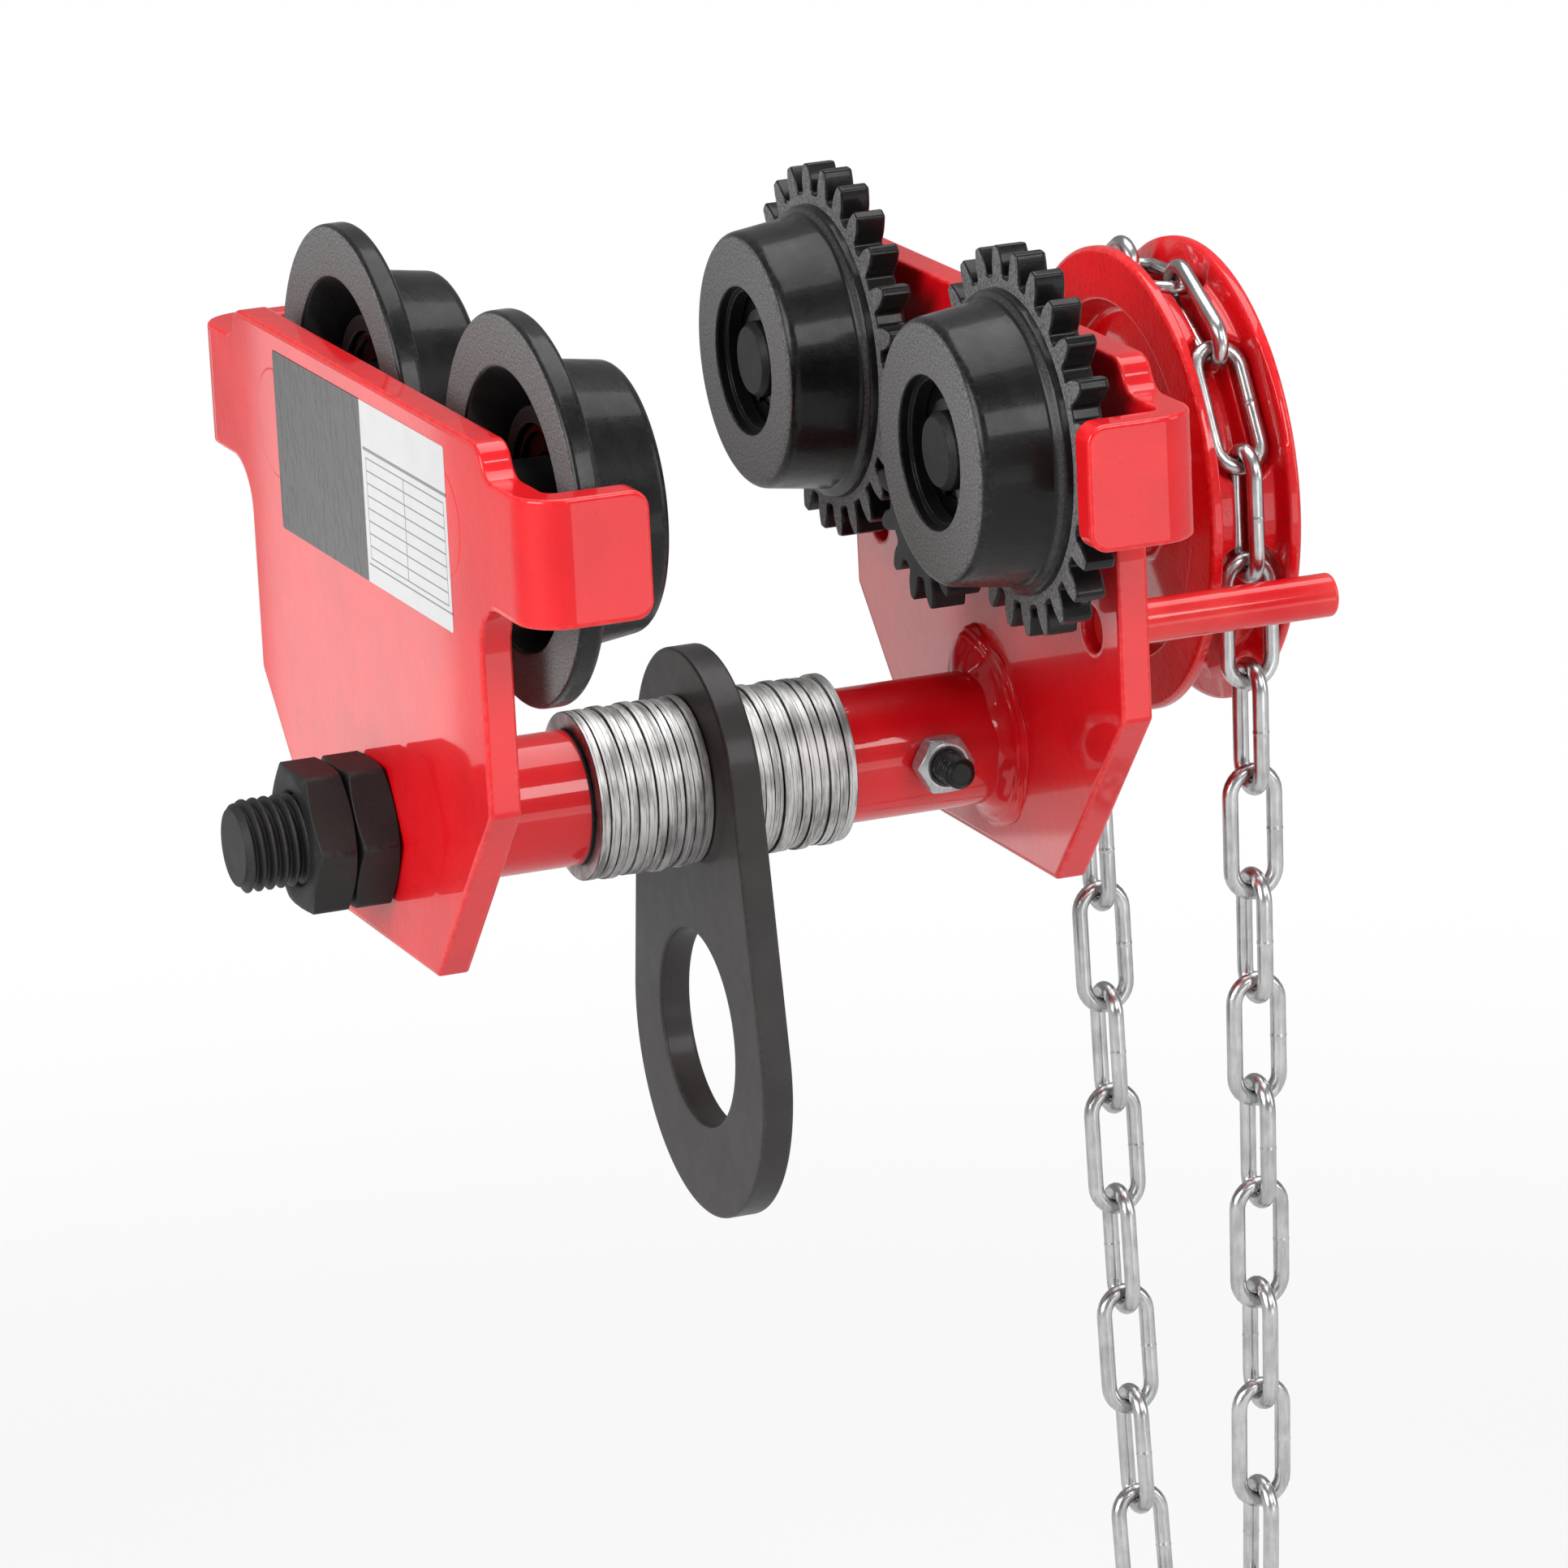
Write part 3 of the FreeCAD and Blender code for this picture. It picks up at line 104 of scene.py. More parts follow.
def rounded(corners, closed=True, steps=4, hold=0.4):
    """Outline whose corners (a, b, radius) give way to arcs.

    Each arc's centre lies on its corner's bisector, radius / sin(half angle) from the corner, and
    the arc turns from one tangent point to the other in even steps. One more point on each side
    of it holds the flat beside it flat. Returns the points and, for each, 1 on an outer corner's
    arc and 0 elsewhere.
    """
    longest_cut, longest_hold = 0.49, 0.4
    table = np.array([(*corner, 0.0)[:3] for corner in corners], float)
    here, radius = table[:, :2], table[:, 2]
    previous = np.roll(here, 1, 0)
    before, after = previous - here, np.roll(here, -1, 0) - here
    outer = cross(after, before) * cross(previous, here).sum() > 0
    if not closed:
        before[0], after[-1] = -after[0], -before[-1]
        radius = radius * (np.arange(len(here)) % (len(here) - 1) > 0)
    room_before, room_after = np.linalg.norm(before, axis=1), np.linalg.norm(after, axis=1)
    before, after = unit(before), unit(after)
    half = np.arccos(np.clip((before * after).sum(1), -1, 1 - TINY)) / 2
    tangent = np.tan(np.clip(half, 1e-4, math.pi / 2 - 1e-7))
    cut = np.minimum(radius / tangent, np.minimum(room_before, room_after) * longest_cut)
    radius = cut * tangent
    across, bisector = unit(after - before), unit(before + after)
    centre = here + bisector * (radius / np.sin(half))[:, None]
    turn = np.linspace(-0.5, 0.5, steps + 1)[None, :, None] * (math.pi - 2 * half)[:, None, None]
    arc = centre[:, None] + radius[:, None, None] * (
        across[:, None] * np.sin(turn) - bisector[:, None] * np.cos(turn)
    )
    held = []
    for way, room, beside in ((before, room_before, 1), (after, room_after, -1)):
        spare = (room - cut - np.roll(cut, beside)) * longest_hold
        held.append((here + way * (cut + np.minimum(spare, hold))[:, None])[:, None])
    points = np.concatenate([held[0], arc, held[1]], 1)
    edge = np.zeros(points.shape[:2])
    edge[:, 1:-1] = (outer & (cut > 0))[:, None]
    keep = (cut > TINY)[:, None] | (np.arange(steps + 3) == 1)
    return points[keep], edge[keep]


def rectangle(low, high, radius):
    """Corners of an upright rectangle, all rounded alike."""
    places = [low, (high[0], low[1]), high, (low[0], high[1])]
    return [(*place, radius) for place in places]


def circle(y, z, radius, count=72):
    """Points at even angles round a centre."""
    angle = even_angles(count)
    return np.stack([y + radius * np.cos(angle), z + radius * np.sin(angle)], 1)


def spread(points, longest):
    """The same closed outline with its long sides cut into even runs of at most this length."""
    following = np.roll(points, -1, 0)
    pieces = np.ceil(np.linalg.norm(following - points, axis=1) / longest)
    pieces = np.maximum(pieces, 1).astype(int)
    number = np.repeat(np.arange(len(points)), pieces)
    share = np.arange(len(number)) - np.repeat(np.cumsum(pieces) - pieces, pieces)
    share = (share / pieces[number])[:, None]
    return points[number] * (1 - share) + following[number] * share


# ---- surfaces


def ring_quads(index):
    """Quads between neighbouring rows of point numbers; each row closes into a ring."""
    ring = np.concatenate([index, index[:, :1]], 1)
    quads = np.stack([ring[:-1, :-1], ring[1:, :-1], ring[1:, 1:], ring[:-1, 1:]], -1)
    return quads.reshape(-1, 4)


def woven(points, closed_path=True, edge=0.0):
    """Surface over a grid of points (row, column): columns run round a ring and always close.

    A closed path joins the last row to the first. An open one starts and ends in a point on the
    axis, taken from its first and last row.
    """
    rows, columns = points.shape[:2]
    edge = np.broadcast_to(edge, (rows, columns))
    if closed_path:
        index = np.arange(rows * columns).reshape(rows, columns)
        quads = ring_quads(np.concatenate([index, index[:1]]))
        return points.reshape(-1, 3), [quads], edge.reshape(-1)
    first = (rows - 2) * columns
    index = np.arange(first).reshape(rows - 2, columns)
    flat = np.concatenate([points[1:-1].reshape(-1, 3), points[0, :1], points[-1, :1]])
    fans = [
        np.stack([np.full(columns, first), index[0], np.roll(index[0], -1)], 1),
        np.stack([np.full(columns, first + 1), np.roll(index[-1], -1), index[-1]], 1),
    ]
    return flat, [ring_quads(index), *fans], np.concatenate([edge[1:-1].reshape(-1), [0, 0]])


def about(centre, along, radius, angle, axis="x"):
    """Points at a radius and an angle about a line along X or Y, given where it crosses.

    For X: x = along, y = centre + radius * cos(angle), z = centre + radius * sin(angle).
    """
    first, second = centre[0] + radius * np.cos(angle), centre[1] + radius * np.sin(angle)
    order = (along, first, second) if axis == "x" else (first, along, second)
    return np.stack(np.broadcast_arrays(*order), -1)


def turned(corners, centre, side=1, start=0.0, closed=True, around=120, steps=4, hold=0.4):
    """Profile (along, radius, rounding) spun about a line along X; x = start + side * along."""
    profile, edge = rounded(corners, closed, steps, hold)
    along, radius = profile[:, :1], profile[:, 1:]
    points = about(centre, start + side * along, radius, even_angles(around))
    return woven(points, closed, edge[:, None])


def inside(points, loops):
    """Even-odd rule: a point is inside if a ray along the first axis crosses the loops' sides an
    odd number of times."""
    starts = np.concatenate(loops)
    ends = np.concatenate([np.roll(loop, -1, 0) for loop in loops])
    y, z = points[:, :1], points[:, 1:]
    straddles = (starts[:, 1] > z) != (ends[:, 1] > z)
    rise = np.where(starts[:, 1] == ends[:, 1], 1e-12, ends[:, 1] - starts[:, 1])
    crossing = starts[:, 0] + (z - starts[:, 1]) * (ends[:, 0] - starts[:, 0]) / rise
    return (straddles & (y < crossing)).sum(1) % 2 == 1


def slab(outline, holes, depth, rim=0.5, extra=None, hold=1.9):
    """Flat plate between depth 0 and depth along X, cut to an outline with holes.

    Every loop is carried along a rounded step: at each stage (depth, inset) its points move by
    inset against the loop's outward normal. The two faces are filled between the innermost loops,
    with the extra points that lie inside them. Returns points (x, y, z), faces and the edge
    value, 1 on the rounding.
    """
    turn = np.linspace(0, math.pi / 2, 4)[1:]
    rise = np.concatenate([[0, 0], 1 - np.cos(turn), [1.6]]) * rim
    inset = np.concatenate([[hold, 1], 1 - np.sin(turn), [0]]) * rim
    edge_value = [0, 0.7, 1, 1, 1, 0]
    heights = np.concatenate([rise, depth - rise[::-1]])[:, None, None]
    insets = np.concatenate([inset, inset[::-1]])[:, None, None]
    points, faces, values, low, high, bounds, sides = [[] for _ in range(7)]
    total = corners = 0
    for loop, inward in zip([outline, *holes], [1] + [-1] * len(holes)):
        ahead, behind = np.roll(loop, -1, 0) - loop, loop - np.roll(loop, 1, 0)
        way = inward * math.copysign(1, cross(loop, np.roll(loop, -1, 0)).sum())
        first, second = (unit(np.stack([s[:, 1], -s[:, 0]], 1) * way) for s in (behind, ahead))
        normal = first + second
        normal /= np.maximum((normal * first).sum(1), 0.3)[:, None]
        flat = loop - normal * insets
        grid = np.concatenate([np.broadcast_to(heights, (*flat.shape[:2], 1)), flat], 2)
        rows, columns = grid.shape[:2]
        index = total + np.arange(rows * columns).reshape(rows, columns)
        points.append(grid.reshape(-1, 3))
        faces.append(ring_quads(index))
        values.append(np.repeat(edge_value + edge_value[::-1], columns))
        low.append(index[0])
        high.append(index[-1])
        bounds.append(flat[0])
        numbers = corners + np.arange(columns)
        sides += np.stack([numbers, np.roll(numbers, -1)], 1).tolist()
        total, corners = total + index.size, corners + columns
    inner = np.concatenate(bounds)
    if extra is not None:
        extra = extra[inside(extra, bounds)]
        numbers = total + np.arange(len(extra))
        points += [np.insert(extra, 0, x, 1) for x in (0.0, depth)]
        values.append(np.zeros(2 * len(extra)))
        low.append(numbers)
        high.append(numbers + len(extra))
        inner = np.concatenate([inner, extra])
    placed = delaunay_2d_cdt([Vector(p) for p in inner.tolist()], sides, [], 0, 1e-7)
    source = np.array([origins[0] for origins in placed[3]])
    triangles = source[np.array(placed[2])]
    triangles = triangles[inside(inner[triangles].mean(1), bounds)]
    low, high = np.concatenate(low), np.concatenate(high)
    faces += [low[triangles], high[triangles[:, ::-1]]]
    return np.concatenate(points), faces, np.concatenate(values)


def moved(shell, function):
    """The same surface with its points put through a function."""
    points, faces, values = shell
    return function(points), faces, values


def shifted(shell, x, y=0.0, z=0.0):
    return moved(shell, lambda points: points + np.array([x, y, z]))


def joined(*shells):
    """Several surfaces as one."""
    offsets = np.cumsum([0] + [len(shell[0]) for shell in shells])
    faces = [group + start for shell, start in zip(shells, offsets) for group in shell[1]]
    return np.concatenate([s[0] for s in shells]), faces, np.concatenate([s[2] for s in shells])


def linked(name, data):
    """A new object in the scene."""
    thing = bpy.data.objects.new(name, data)
    bpy.context.scene.collection.objects.link(thing)
    return thing


def piece(name, shell, nodes, finish, slot=None, body=None):
    """A finished object: its mesh in metres at the origin, smooth, riding on its nodes' body."""
    points, faces, values = shell
    mesh = bpy.data.meshes.new(name)
    mesh.from_pydata((points * MM).tolist(), [], [f for group in faces for f in group.tolist()])
    edge_value = mesh.attributes.new("edge", "FLOAT", "POINT")
    edge_value.data.foreach_set("value", np.ascontiguousarray(values, np.float32))
    edit = bmesh.new()
    edit.from_mesh(mesh)
    bmesh.ops.recalc_face_normals(edit, faces=edit.faces)
    edit.to_mesh(mesh)
    edit.free()
    mesh.polygons.foreach_set("use_smooth", np.ones(len(mesh.polygons), bool))
    mesh.update()
    mesh.materials.append(finish)
    thing = linked(name, mesh)
    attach(thing, body or body_of[nodes[0]])
    if nodes:
        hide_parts(*nodes)
    return thing


def paint_over(thing, finish, place):
    """A second finish on the faces at one place along X, within 1 mm."""
    mesh = thing.data
    centres = np.zeros(len(mesh.polygons) * 3)
    mesh.polygons.foreach_get("center", centres)
    near = np.abs(centres[::3] / MM - place) < 1.0
    mesh.materials.append(finish)
    mesh.polygons.foreach_set("material_index", near.astype(np.int32))


# ---- shader maths


def operator(operation, swapped=False):
    """A method that adds one Math node on two terms."""

    def apply(self, other):
        terms = (other, self) if swapped else (self, other)
        return self.mix.node("ShaderNodeMath", {"operation": operation}, dict(enumerate(terms)))

    return apply


class Value:
    """A shader socket in a Python sum; each operator adds one Math node."""

    def __init__(self, mix, socket):
        self.mix, self.socket = mix, socket

    __add__ = __radd__ = operator("ADD")
    __sub__, __rsub__ = operator("SUBTRACT"), operator("SUBTRACT", swapped=True)
    __mul__ = __rmul__ = operator("MULTIPLY")
    __pow__ = operator("POWER")
    __lt__, __gt__ = operator("LESS_THAN"), operator("GREATER_THAN")
    most, pingpong = operator("MAXIMUM"), operator("PINGPONG")

    def off(self, pitch):
        """Distance to the nearest multiple of the pitch."""
        return self.pingpong(pitch / 2)

    def clear(self, low, high):
        """0 below low, 1 above high and a smooth rise between."""
        settings = {"interpolation_type": "SMOOTHSTEP"}
        sockets = {"Value": self, "From Min": low, "From Max": high}
        return self.mix.node("ShaderNodeMapRange", settings, sockets)


class Tree:
    """A node tree whose nodes are added by one method."""

    def __init__(self, owner):
        self.owner = owner
        owner.use_nodes = True
        self.tree = owner.node_tree

    def node(self, kind, settings=None, sockets=None, output=0):
        made = self.tree.nodes.new(kind)
        for key, value in (settings or {}).items():
            setattr(made, key, value)
        for key, value in (sockets or {}).items():
            if isinstance(value, Value):
                self.tree.links.new(value.socket, made.inputs[key])
            else:
                made.inputs[key].default_value = value
        return Value(self, made.outputs[output])

    def axis(self, which, space="Object"):
        """One part of a point's place in metres, or of its Normal or Generated direction."""
        vector = self.node("ShaderNodeTexCoord", output=space)
        return self.node("ShaderNodeSeparateXYZ", {}, {0: vector}, output=which)

    def path(self, ray):
        """1 for light paths of one kind, such as Is Camera Ray."""
        return self.node("ShaderNodeLightPath", output=ray)

    def seen(self):
        """1 for what the camera sees, also through glass."""
        return self.path("Is Camera Ray").most(self.path("Is Transmission Ray"))


class Finish(Tree):
    """A material on the usual surface shader."""

    def __init__(self, name, **constants):
        super().__init__(bpy.data.materials.new(name))
        self.shader = self.tree.nodes["Principled BSDF"]
        for socket, value in constants.items():
            self.shader.inputs[socket.replace("_", " ")].default_value = value

    def place(self):
        """Where a point is, in metres."""
        return self.node("ShaderNodeTexCoord", output="Object")

    def edge(self):
        """1 on the rounded outer edges of the mesh."""
        return self.node("ShaderNodeAttribute", {"attribute_name": "edge"}, output="Fac")

    def edge_patches(self, size=1.2, detail=4.0, least=0.40):
        """1 on the edges, in patches, where a finish paints them lighter: wear, and on some
        finishes a painted highlight.
        """
        return self.edge() * self.noise(size, detail).clear(least, 0.75)

    def noise(self, size, detail=2.0, roughness=0.5):
        """Cloudy pattern whose patches are about size millimetres wide."""
        return self.pattern(self.place(), 1000.0 / size, detail, roughness)

    def streaks(self, scale, detail=2.0, roughness=0.5):
        """Cloudy pattern with a number of its own of patches per metre along each axis."""
        drawn = self.node("ShaderNodeMapping", {}, {"Vector": self.place(), "Scale": scale})
        return self.pattern(drawn, 1.0, detail, roughness)

    def pattern(self, vector, scale, detail, roughness):
        sockets = {"Vector": vector, "Scale": scale, "Detail": detail, "Roughness": roughness}
        return self.node("ShaderNodeTexNoise", {}, sockets)

    def blend(self, share, *tones):
        """The first tone where the share is 0 and the second where it is 1."""
        first, second = (t if isinstance(t, Value) else (*t, 1.0) for t in tones)
        sockets = {0: share, 6: first, 7: second}
        return self.node("ShaderNodeMix", {"data_type": "RGBA"}, sockets, output=2)

    def relief(self, height, depth):
        """Bump of the given depth in millimetres."""
        sockets = {"Height": height, "Distance": depth * MM, "Strength": 1.0}
        return self.node("ShaderNodeBump", {}, sockets)

    def feed(self, **sockets):
        for name, value in sockets.items():
            self.tree.links.new(value.socket, self.shader.inputs[name.replace("_", " ")])
        return self.owner


def red_enamel(name, peel=1.0, grain=0.0, bright=(0.75, 0.005, 0.010)):
    """Thick glossy red over steel: slow waves in the coat, paler edges, partly thinner paint and
    partly a painted highlight.
    """
    paint = Finish(
        name, Coat_Weight=0.75, Coat_Roughness=0.05, Coat_IOR=1.5, Specular_IOR_Level=0.14
    )
    tone = paint.blend(paint.noise(26.0, 3.0).clear(0.3, 0.7), (0.64, 0.002, 0.007), bright)
    # Paler red in patches on edges: thin paint, partly a painted edge highlight.
    tone = paint.blend(paint.edge_patches(1.6, 3.0, 0.35) * 0.4, tone, (0.84, 0.07, 0.06))
    fleck = paint.noise(0.7, 1.0).clear(0.64, 0.74) * (0.25 + grain * 0.4)
    tone = paint.blend(fleck, tone, (0.30, 0.003, 0.005))
    waves = paint.noise(4.2, roughness=0.4) * peel + paint.noise(1.9) * peel * 0.55
    waves = waves + paint.noise(1.1) * (0.1 * peel + grain)
    return paint.feed(
        Base_Color=tone,
        Roughness=0.34 + paint.noise(9.0) * 0.12,
        Normal=paint.relief(waves, 0.11),
    )


def black_paint(name, tone, grey, rough, grain, coat, size, edge_lightening=0.35, wear_and_highlight=(0.06, 0.059, 0.058)):
    """Black paint over a rough casting or plate: fine grain, lighter patches on edges: grey dust,
    and on thread crests a painted highlight.
    """
    paint = Finish(name, Coat_Weight=coat, Coat_Roughness=0.16, Specular_IOR_Level=0.27)
    fine = paint.noise(size, 4.0, 0.65)
    share = paint.noise(14.0, 3.0) * 0.5 + fine * 0.5
    shade = paint.blend(share.clear(0.3, 0.72), tone, grey)
    low, high = rough
    return paint.feed(
        Base_Color=paint.blend(paint.edge_patches() * edge_lightening, shade, wear_and_highlight),
        Roughness=low + paint.noise(5.0, 3.0) * (high - low),
        Normal=paint.relief(fine * grain + paint.noise(3.0) * grain, 0.09),
    )


def casting_black(name):
    """Black casting: satin turned treads, sandy grey faces square to the axle, their grey partly
    a painted sheen, and painted shade that keeps those faces black inside the dish and the bore,
    told by the distance in metres from the wheel's axis."""
    dish, bore = 0.0295, 0.0164
    paint = Finish(name, Coat_Roughness=0.1, Specular_IOR_Level=0.17, Sheen_Weight=0.04)
    square = paint.axis(0, "Normal")
    square = (square * square).clear(0.55, 0.9)
    hub = middle("bearing_outer_left_rear") * MM
    x, y, z = (paint.axis(which) for which in range(3))
    reach = (((y * y) ** 0.5 - hub[1]) ** 2 + (z - hub[2]) ** 2) ** 0.5
    behind = (x * x) ** 0.5 > (span("geared_wheel_rear")[0][0] + 1.0) * MM
    # Painted shade: inside the dish and the bore, faces square to the axle keep the black and get
    # no grey.
    shaded = (behind * (reach < dish)).most(reach < bore)
    sand = paint.noise(0.5, 3.0, 0.7)
    blotch = paint.noise(7.0, 3.0, 0.6)
    cloud = paint.noise(18.0, 3.0) * 0.5 + sand * 0.5
    shade = paint.blend(cloud.clear(0.3, 0.7), (0.0022, 0.0021, 0.0021), (0.0065, 0.0063, 0.0062))
    # Grey dust, lightened to stand in for the faces' sheen at a glancing view, so partly painted
    # sheen; tinted a little cool against red light from the plates.
    dust_and_sheen = paint.blend(sand.clear(0.36, 0.64), (0.066, 0.0665, 0.0665), (0.205, 0.207, 0.207))
    shade = paint.blend(square * (1 - shaded), shade, dust_and_sheen)
    tread = 1 - square
    return paint.feed(
        Base_Color=paint.blend(paint.edge_patches() * 0.25, shade, (0.05, 0.049, 0.048)),
        Roughness=0.25 + blotch.clear(0.35, 0.7) * tread * 0.15 + square * 0.25,
        Coat_Weight=tread * 0.16,
        Normal=paint.relief(sand * (0.4 + 1.3 * square) + blotch * tread * 1.7, 0.11),
    )


def metal(name, dark, light, rough, bare=1.0):
    """Bare or plated metal: cloudy tone, fine drawn lines along one direction."""
    paint = Finish(name, Metallic=bare)
    lines = paint.streaks((1500, 180, 180))
    share = (paint.noise(6.0, 3.0) * 0.55 + lines * 0.45).clear(0.3, 0.7)
    low, high = rough
    return paint.feed(
        Base_Color=paint.blend(share, dark, light),
        Roughness=low + lines * (high - low),
        Normal=paint.relief(lines, 0.02),
    )


plate_red = red_enamel("red_enamel_plate")
cast_red = red_enamel("red_enamel_cast", peel=1.5, grain=1.2)
weld_red = red_enamel("red_enamel_weld", peel=1.2, grain=0.3)
tube_red = red_enamel("red_enamel_tube", peel=0.6)
rod_red = red_enamel("red_enamel_rod", peel=0.7, bright=(0.80, 0.05, 0.045))
cast_black = casting_black("black_cast")
plate_black = black_paint(
    "black_plate", (0.022, 0.0195, 0.0192), (0.038, 0.0345, 0.034), (0.42, 0.52), 0.45, 0.12, 0.35
)
oxide_black = black_paint(
    "black_oxide", (0.009, 0.0095, 0.0096), (0.022, 0.0228, 0.0230), (0.42, 0.56), 0.6, 0.0, 0.3
)
# Thread crests painted much lighter: a painted highlight along the crests, partly wear.
thread_black = black_paint(
    "black_thread", (0.004, 0.0042, 0.0042), (0.010, 0.0102, 0.0103), (0.34, 0.44), 0.3, 0.0, 0.3,
    edge_lightening=0.9, wear_and_highlight=(0.16, 0.158, 0.155),
)
chain_zinc = metal("chain_zinc", (0.42, 0.42, 0.425), (0.64, 0.64, 0.645), (0.20, 0.32))
bright_zinc = metal("bright_zinc", (0.36, 0.36, 0.37), (0.60, 0.60, 0.61), (0.24, 0.34), bare=0.7)
ring_steel = metal("ring_steel", (0.02, 0.02, 0.02), (0.06, 0.06, 0.06), (0.3, 0.4))
bearing_steel = metal("bearing_steel", (0.012, 0.012, 0.012), (0.03, 0.03, 0.03), (0.4, 0.5))
bush_bronze = metal("bush_bronze", (0.45, 0.26, 0.10), (0.62, 0.38, 0.16), (0.3, 0.42))


# ---- side plates

PLATE_DEPTH = 7.0
BAR_HOLE, AXLE_HOLE, SHAFT_HOLE, ROD_HOLE = 10.3, 8.6, 10.6, 5.0
BEND_START, BEND_INSIDE, EAR_REACH, EAR_LOW, EAR_HIGH = 96.0, 3.0, 26.5, 16.7, 43.7
BEND_MIDDLE = BEND_INSIDE + PLATE_DEPTH / 2
BEND_LENGTH = BEND_MIDDLE * math.pi / 2
bar_y, bar_z = 0.0, middle("load_bar")[2]
wheel_z = middle("bearing_outer_left_front")[2]
wheel_y = middle("bearing_outer_left_rear")[1]
drive_z = middle("hand_chain_wheel")[2]
rod_y, rod_z = middle("guide_rod_rear")[1:]


def bent_ears(points):
    """Rolls both ends of the flat plate inwards.

    Past the bend's start the distance along the plate becomes an angle about a line inside the
    plate, distance / middle radius, up to a quarter turn; what is left over runs on straight.
    """
    depth, y, z = points.T
    reach = np.abs(y) - BEND_START
    turn = np.clip(reach / BEND_MIDDLE, 0, math.pi / 2)
    radius = BEND_INSIDE + PLATE_DEPTH - depth
    straight = np.maximum(reach - BEND_LENGTH, 0)
    rolled = BEND_START + radius * np.sin(turn)
    inwards = BEND_INSIDE + PLATE_DEPTH - radius * np.cos(turn) + straight
    away = reach <= 0
    y = np.where(away, y, np.sign(y) * rolled)
    return np.stack([np.where(away, depth, inwards), y, z], 1)


def side_plate(node, outer_x, side, driven):
    """Plate cut to its outline, with rolled ears; side is the way from its outer face inwards.

    Its sides are cut short, and points are laid over the bend, so that the bend comes out round.
    """
    fine, coarse = 0.9, 2.4
    ear_end = BEND_START + BEND_LENGTH + EAR_REACH - BEND_INSIDE - PLATE_DEPTH
    half = [
        (78.37, 50.7, 6.07), (81.63, EAR_HIGH, 6.07), (ear_end, EAR_HIGH, 4),
        (ear_end, EAR_LOW, 4), (73.5, EAR_LOW, 11), (73.5, -29.3, 1.6), (34, -73.3, 1.6),
    ]
    corners = half + [(-y, z, r) for y, z, r in reversed(half)]
    outline = spread(rounded(corners, steps=10)[0], fine)
    holes = [circle(bar_y, bar_z, BAR_HOLE)]
    holes += [circle(way * wheel_y, wheel_z, AXLE_HOLE) for way in (-1, 1)]
    if driven:
        holes.append(circle(0, drive_z, SHAFT_HOLE))
        holes += [circle(way * rod_y, rod_z, ROD_HOLE) for way in (-1, 1)]
    across = np.arange(BEND_START - 1.6, BEND_START + BEND_LENGTH + 2.0, fine)
    rise = np.arange(EAR_LOW + 1.5, EAR_HIGH - 0.7, coarse)
    grid = np.stack(np.meshgrid(np.concatenate([-across, across]), rise), -1)
    flat = slab(outline, holes, PLATE_DEPTH, 0.7, grid.reshape(-1, 2))
    bent = moved(flat, lambda points: bent_ears(points) * [side, 1, 1] + [outer_x, 0, 0])
    piece(node + "_steel", bent, [node], plate_red)


left_out = span("left_side_plate")[0][0]
right_out = span("right_side_plate")[1][0]
side_plate("left_side_plate", left_out, 1, driven=False)
side_plate("right_side_plate", right_out, -1, driven=True)

LABEL_REAR, LABEL_SPLIT, LABEL_FRONT = 52.0, -5.0, -57.5
LABEL_LOW, LABEL_HIGH = 6.7, 46.2


def label_film():
    """Printed film: a dark field towards the rear, a blank ruled table on white at the front.

    Lines are drawn where the distance to the nearest ruling is under half a line's width.
    """
    paint = Finish("label_film", Coat_Roughness=0.12, Specular_IOR_Level=0.3)
    y, z = paint.axis(1) * (1 / MM), paint.axis(2) * (1 / MM)
    front, rear, divider = LABEL_FRONT + 1.6, LABEL_SPLIT - 2.4, -31.0
    low, high, row = 12.2, 34.2, 2.72
    once = 400.0
    rows = ((z - low).off(row) < 0.17) * (z > low - 0.3) * (z < high + 0.1)
    columns = ((y - front).off(rear - front) < 0.22).most((y - divider).off(once) < 0.22)
    columns = columns * (z > low - 0.1) * (z < high - 0.1)
    table = rows.most(columns) * (y > front - 0.1) * (y < rear + 0.1)
    heads = ((z - 35.9).off(once) < 0.38).most((z - 10.8).off(once) < 0.2)
    ruled = table.most(heads * (y < LABEL_SPLIT - 1.0))
    field = y > LABEL_SPLIT
    blotch = paint.noise(7.0, 3.0)
    white = paint.blend(blotch, (0.56, 0.56, 0.57), (0.66, 0.66, 0.67))
    white = paint.blend(ruled * 0.85, white, (0.05, 0.05, 0.055))
    dark = paint.blend(blotch, (0.028, 0.028, 0.029), (0.044, 0.044, 0.045))
    runs = paint.streaks((300, 420, 150)).clear(0.45, 0.68)
    return paint.feed(
        Base_Color=paint.blend(field, white, dark),
        Roughness=0.34 + blotch * 0.14,
        Coat_Weight=0.8 - field * 0.3,
        Normal=paint.relief(runs * (0.12 + 0.88 * field), 0.3),
    )


# Thin film on the outer face of the left plate, most of its depth above the face.
LABEL_DEPTH, LABEL_SUNK = 0.2, 0.06
label = rounded(rectangle((LABEL_FRONT, LABEL_LOW), (LABEL_REAR, LABEL_HIGH), 0.7))[0]
across = np.arange(LABEL_FRONT + 1, LABEL_REAR, 1.1)
grid = np.stack(np.meshgrid(across, np.arange(LABEL_LOW + 1, LABEL_HIGH, 1.1)), -1)
film = slab(spread(label, 2.0), [], LABEL_DEPTH, 0.05, grid.reshape(-1, 2))
film = shifted(film, left_out - LABEL_DEPTH + LABEL_SUNK)
on_plate = slot_of["left_side_plate"], body_of["left_side_plate"]
piece("plate_label", film, [], label_film(), *on_plate)


# ---- load bar group

bar_line = (bar_y, bar_z)


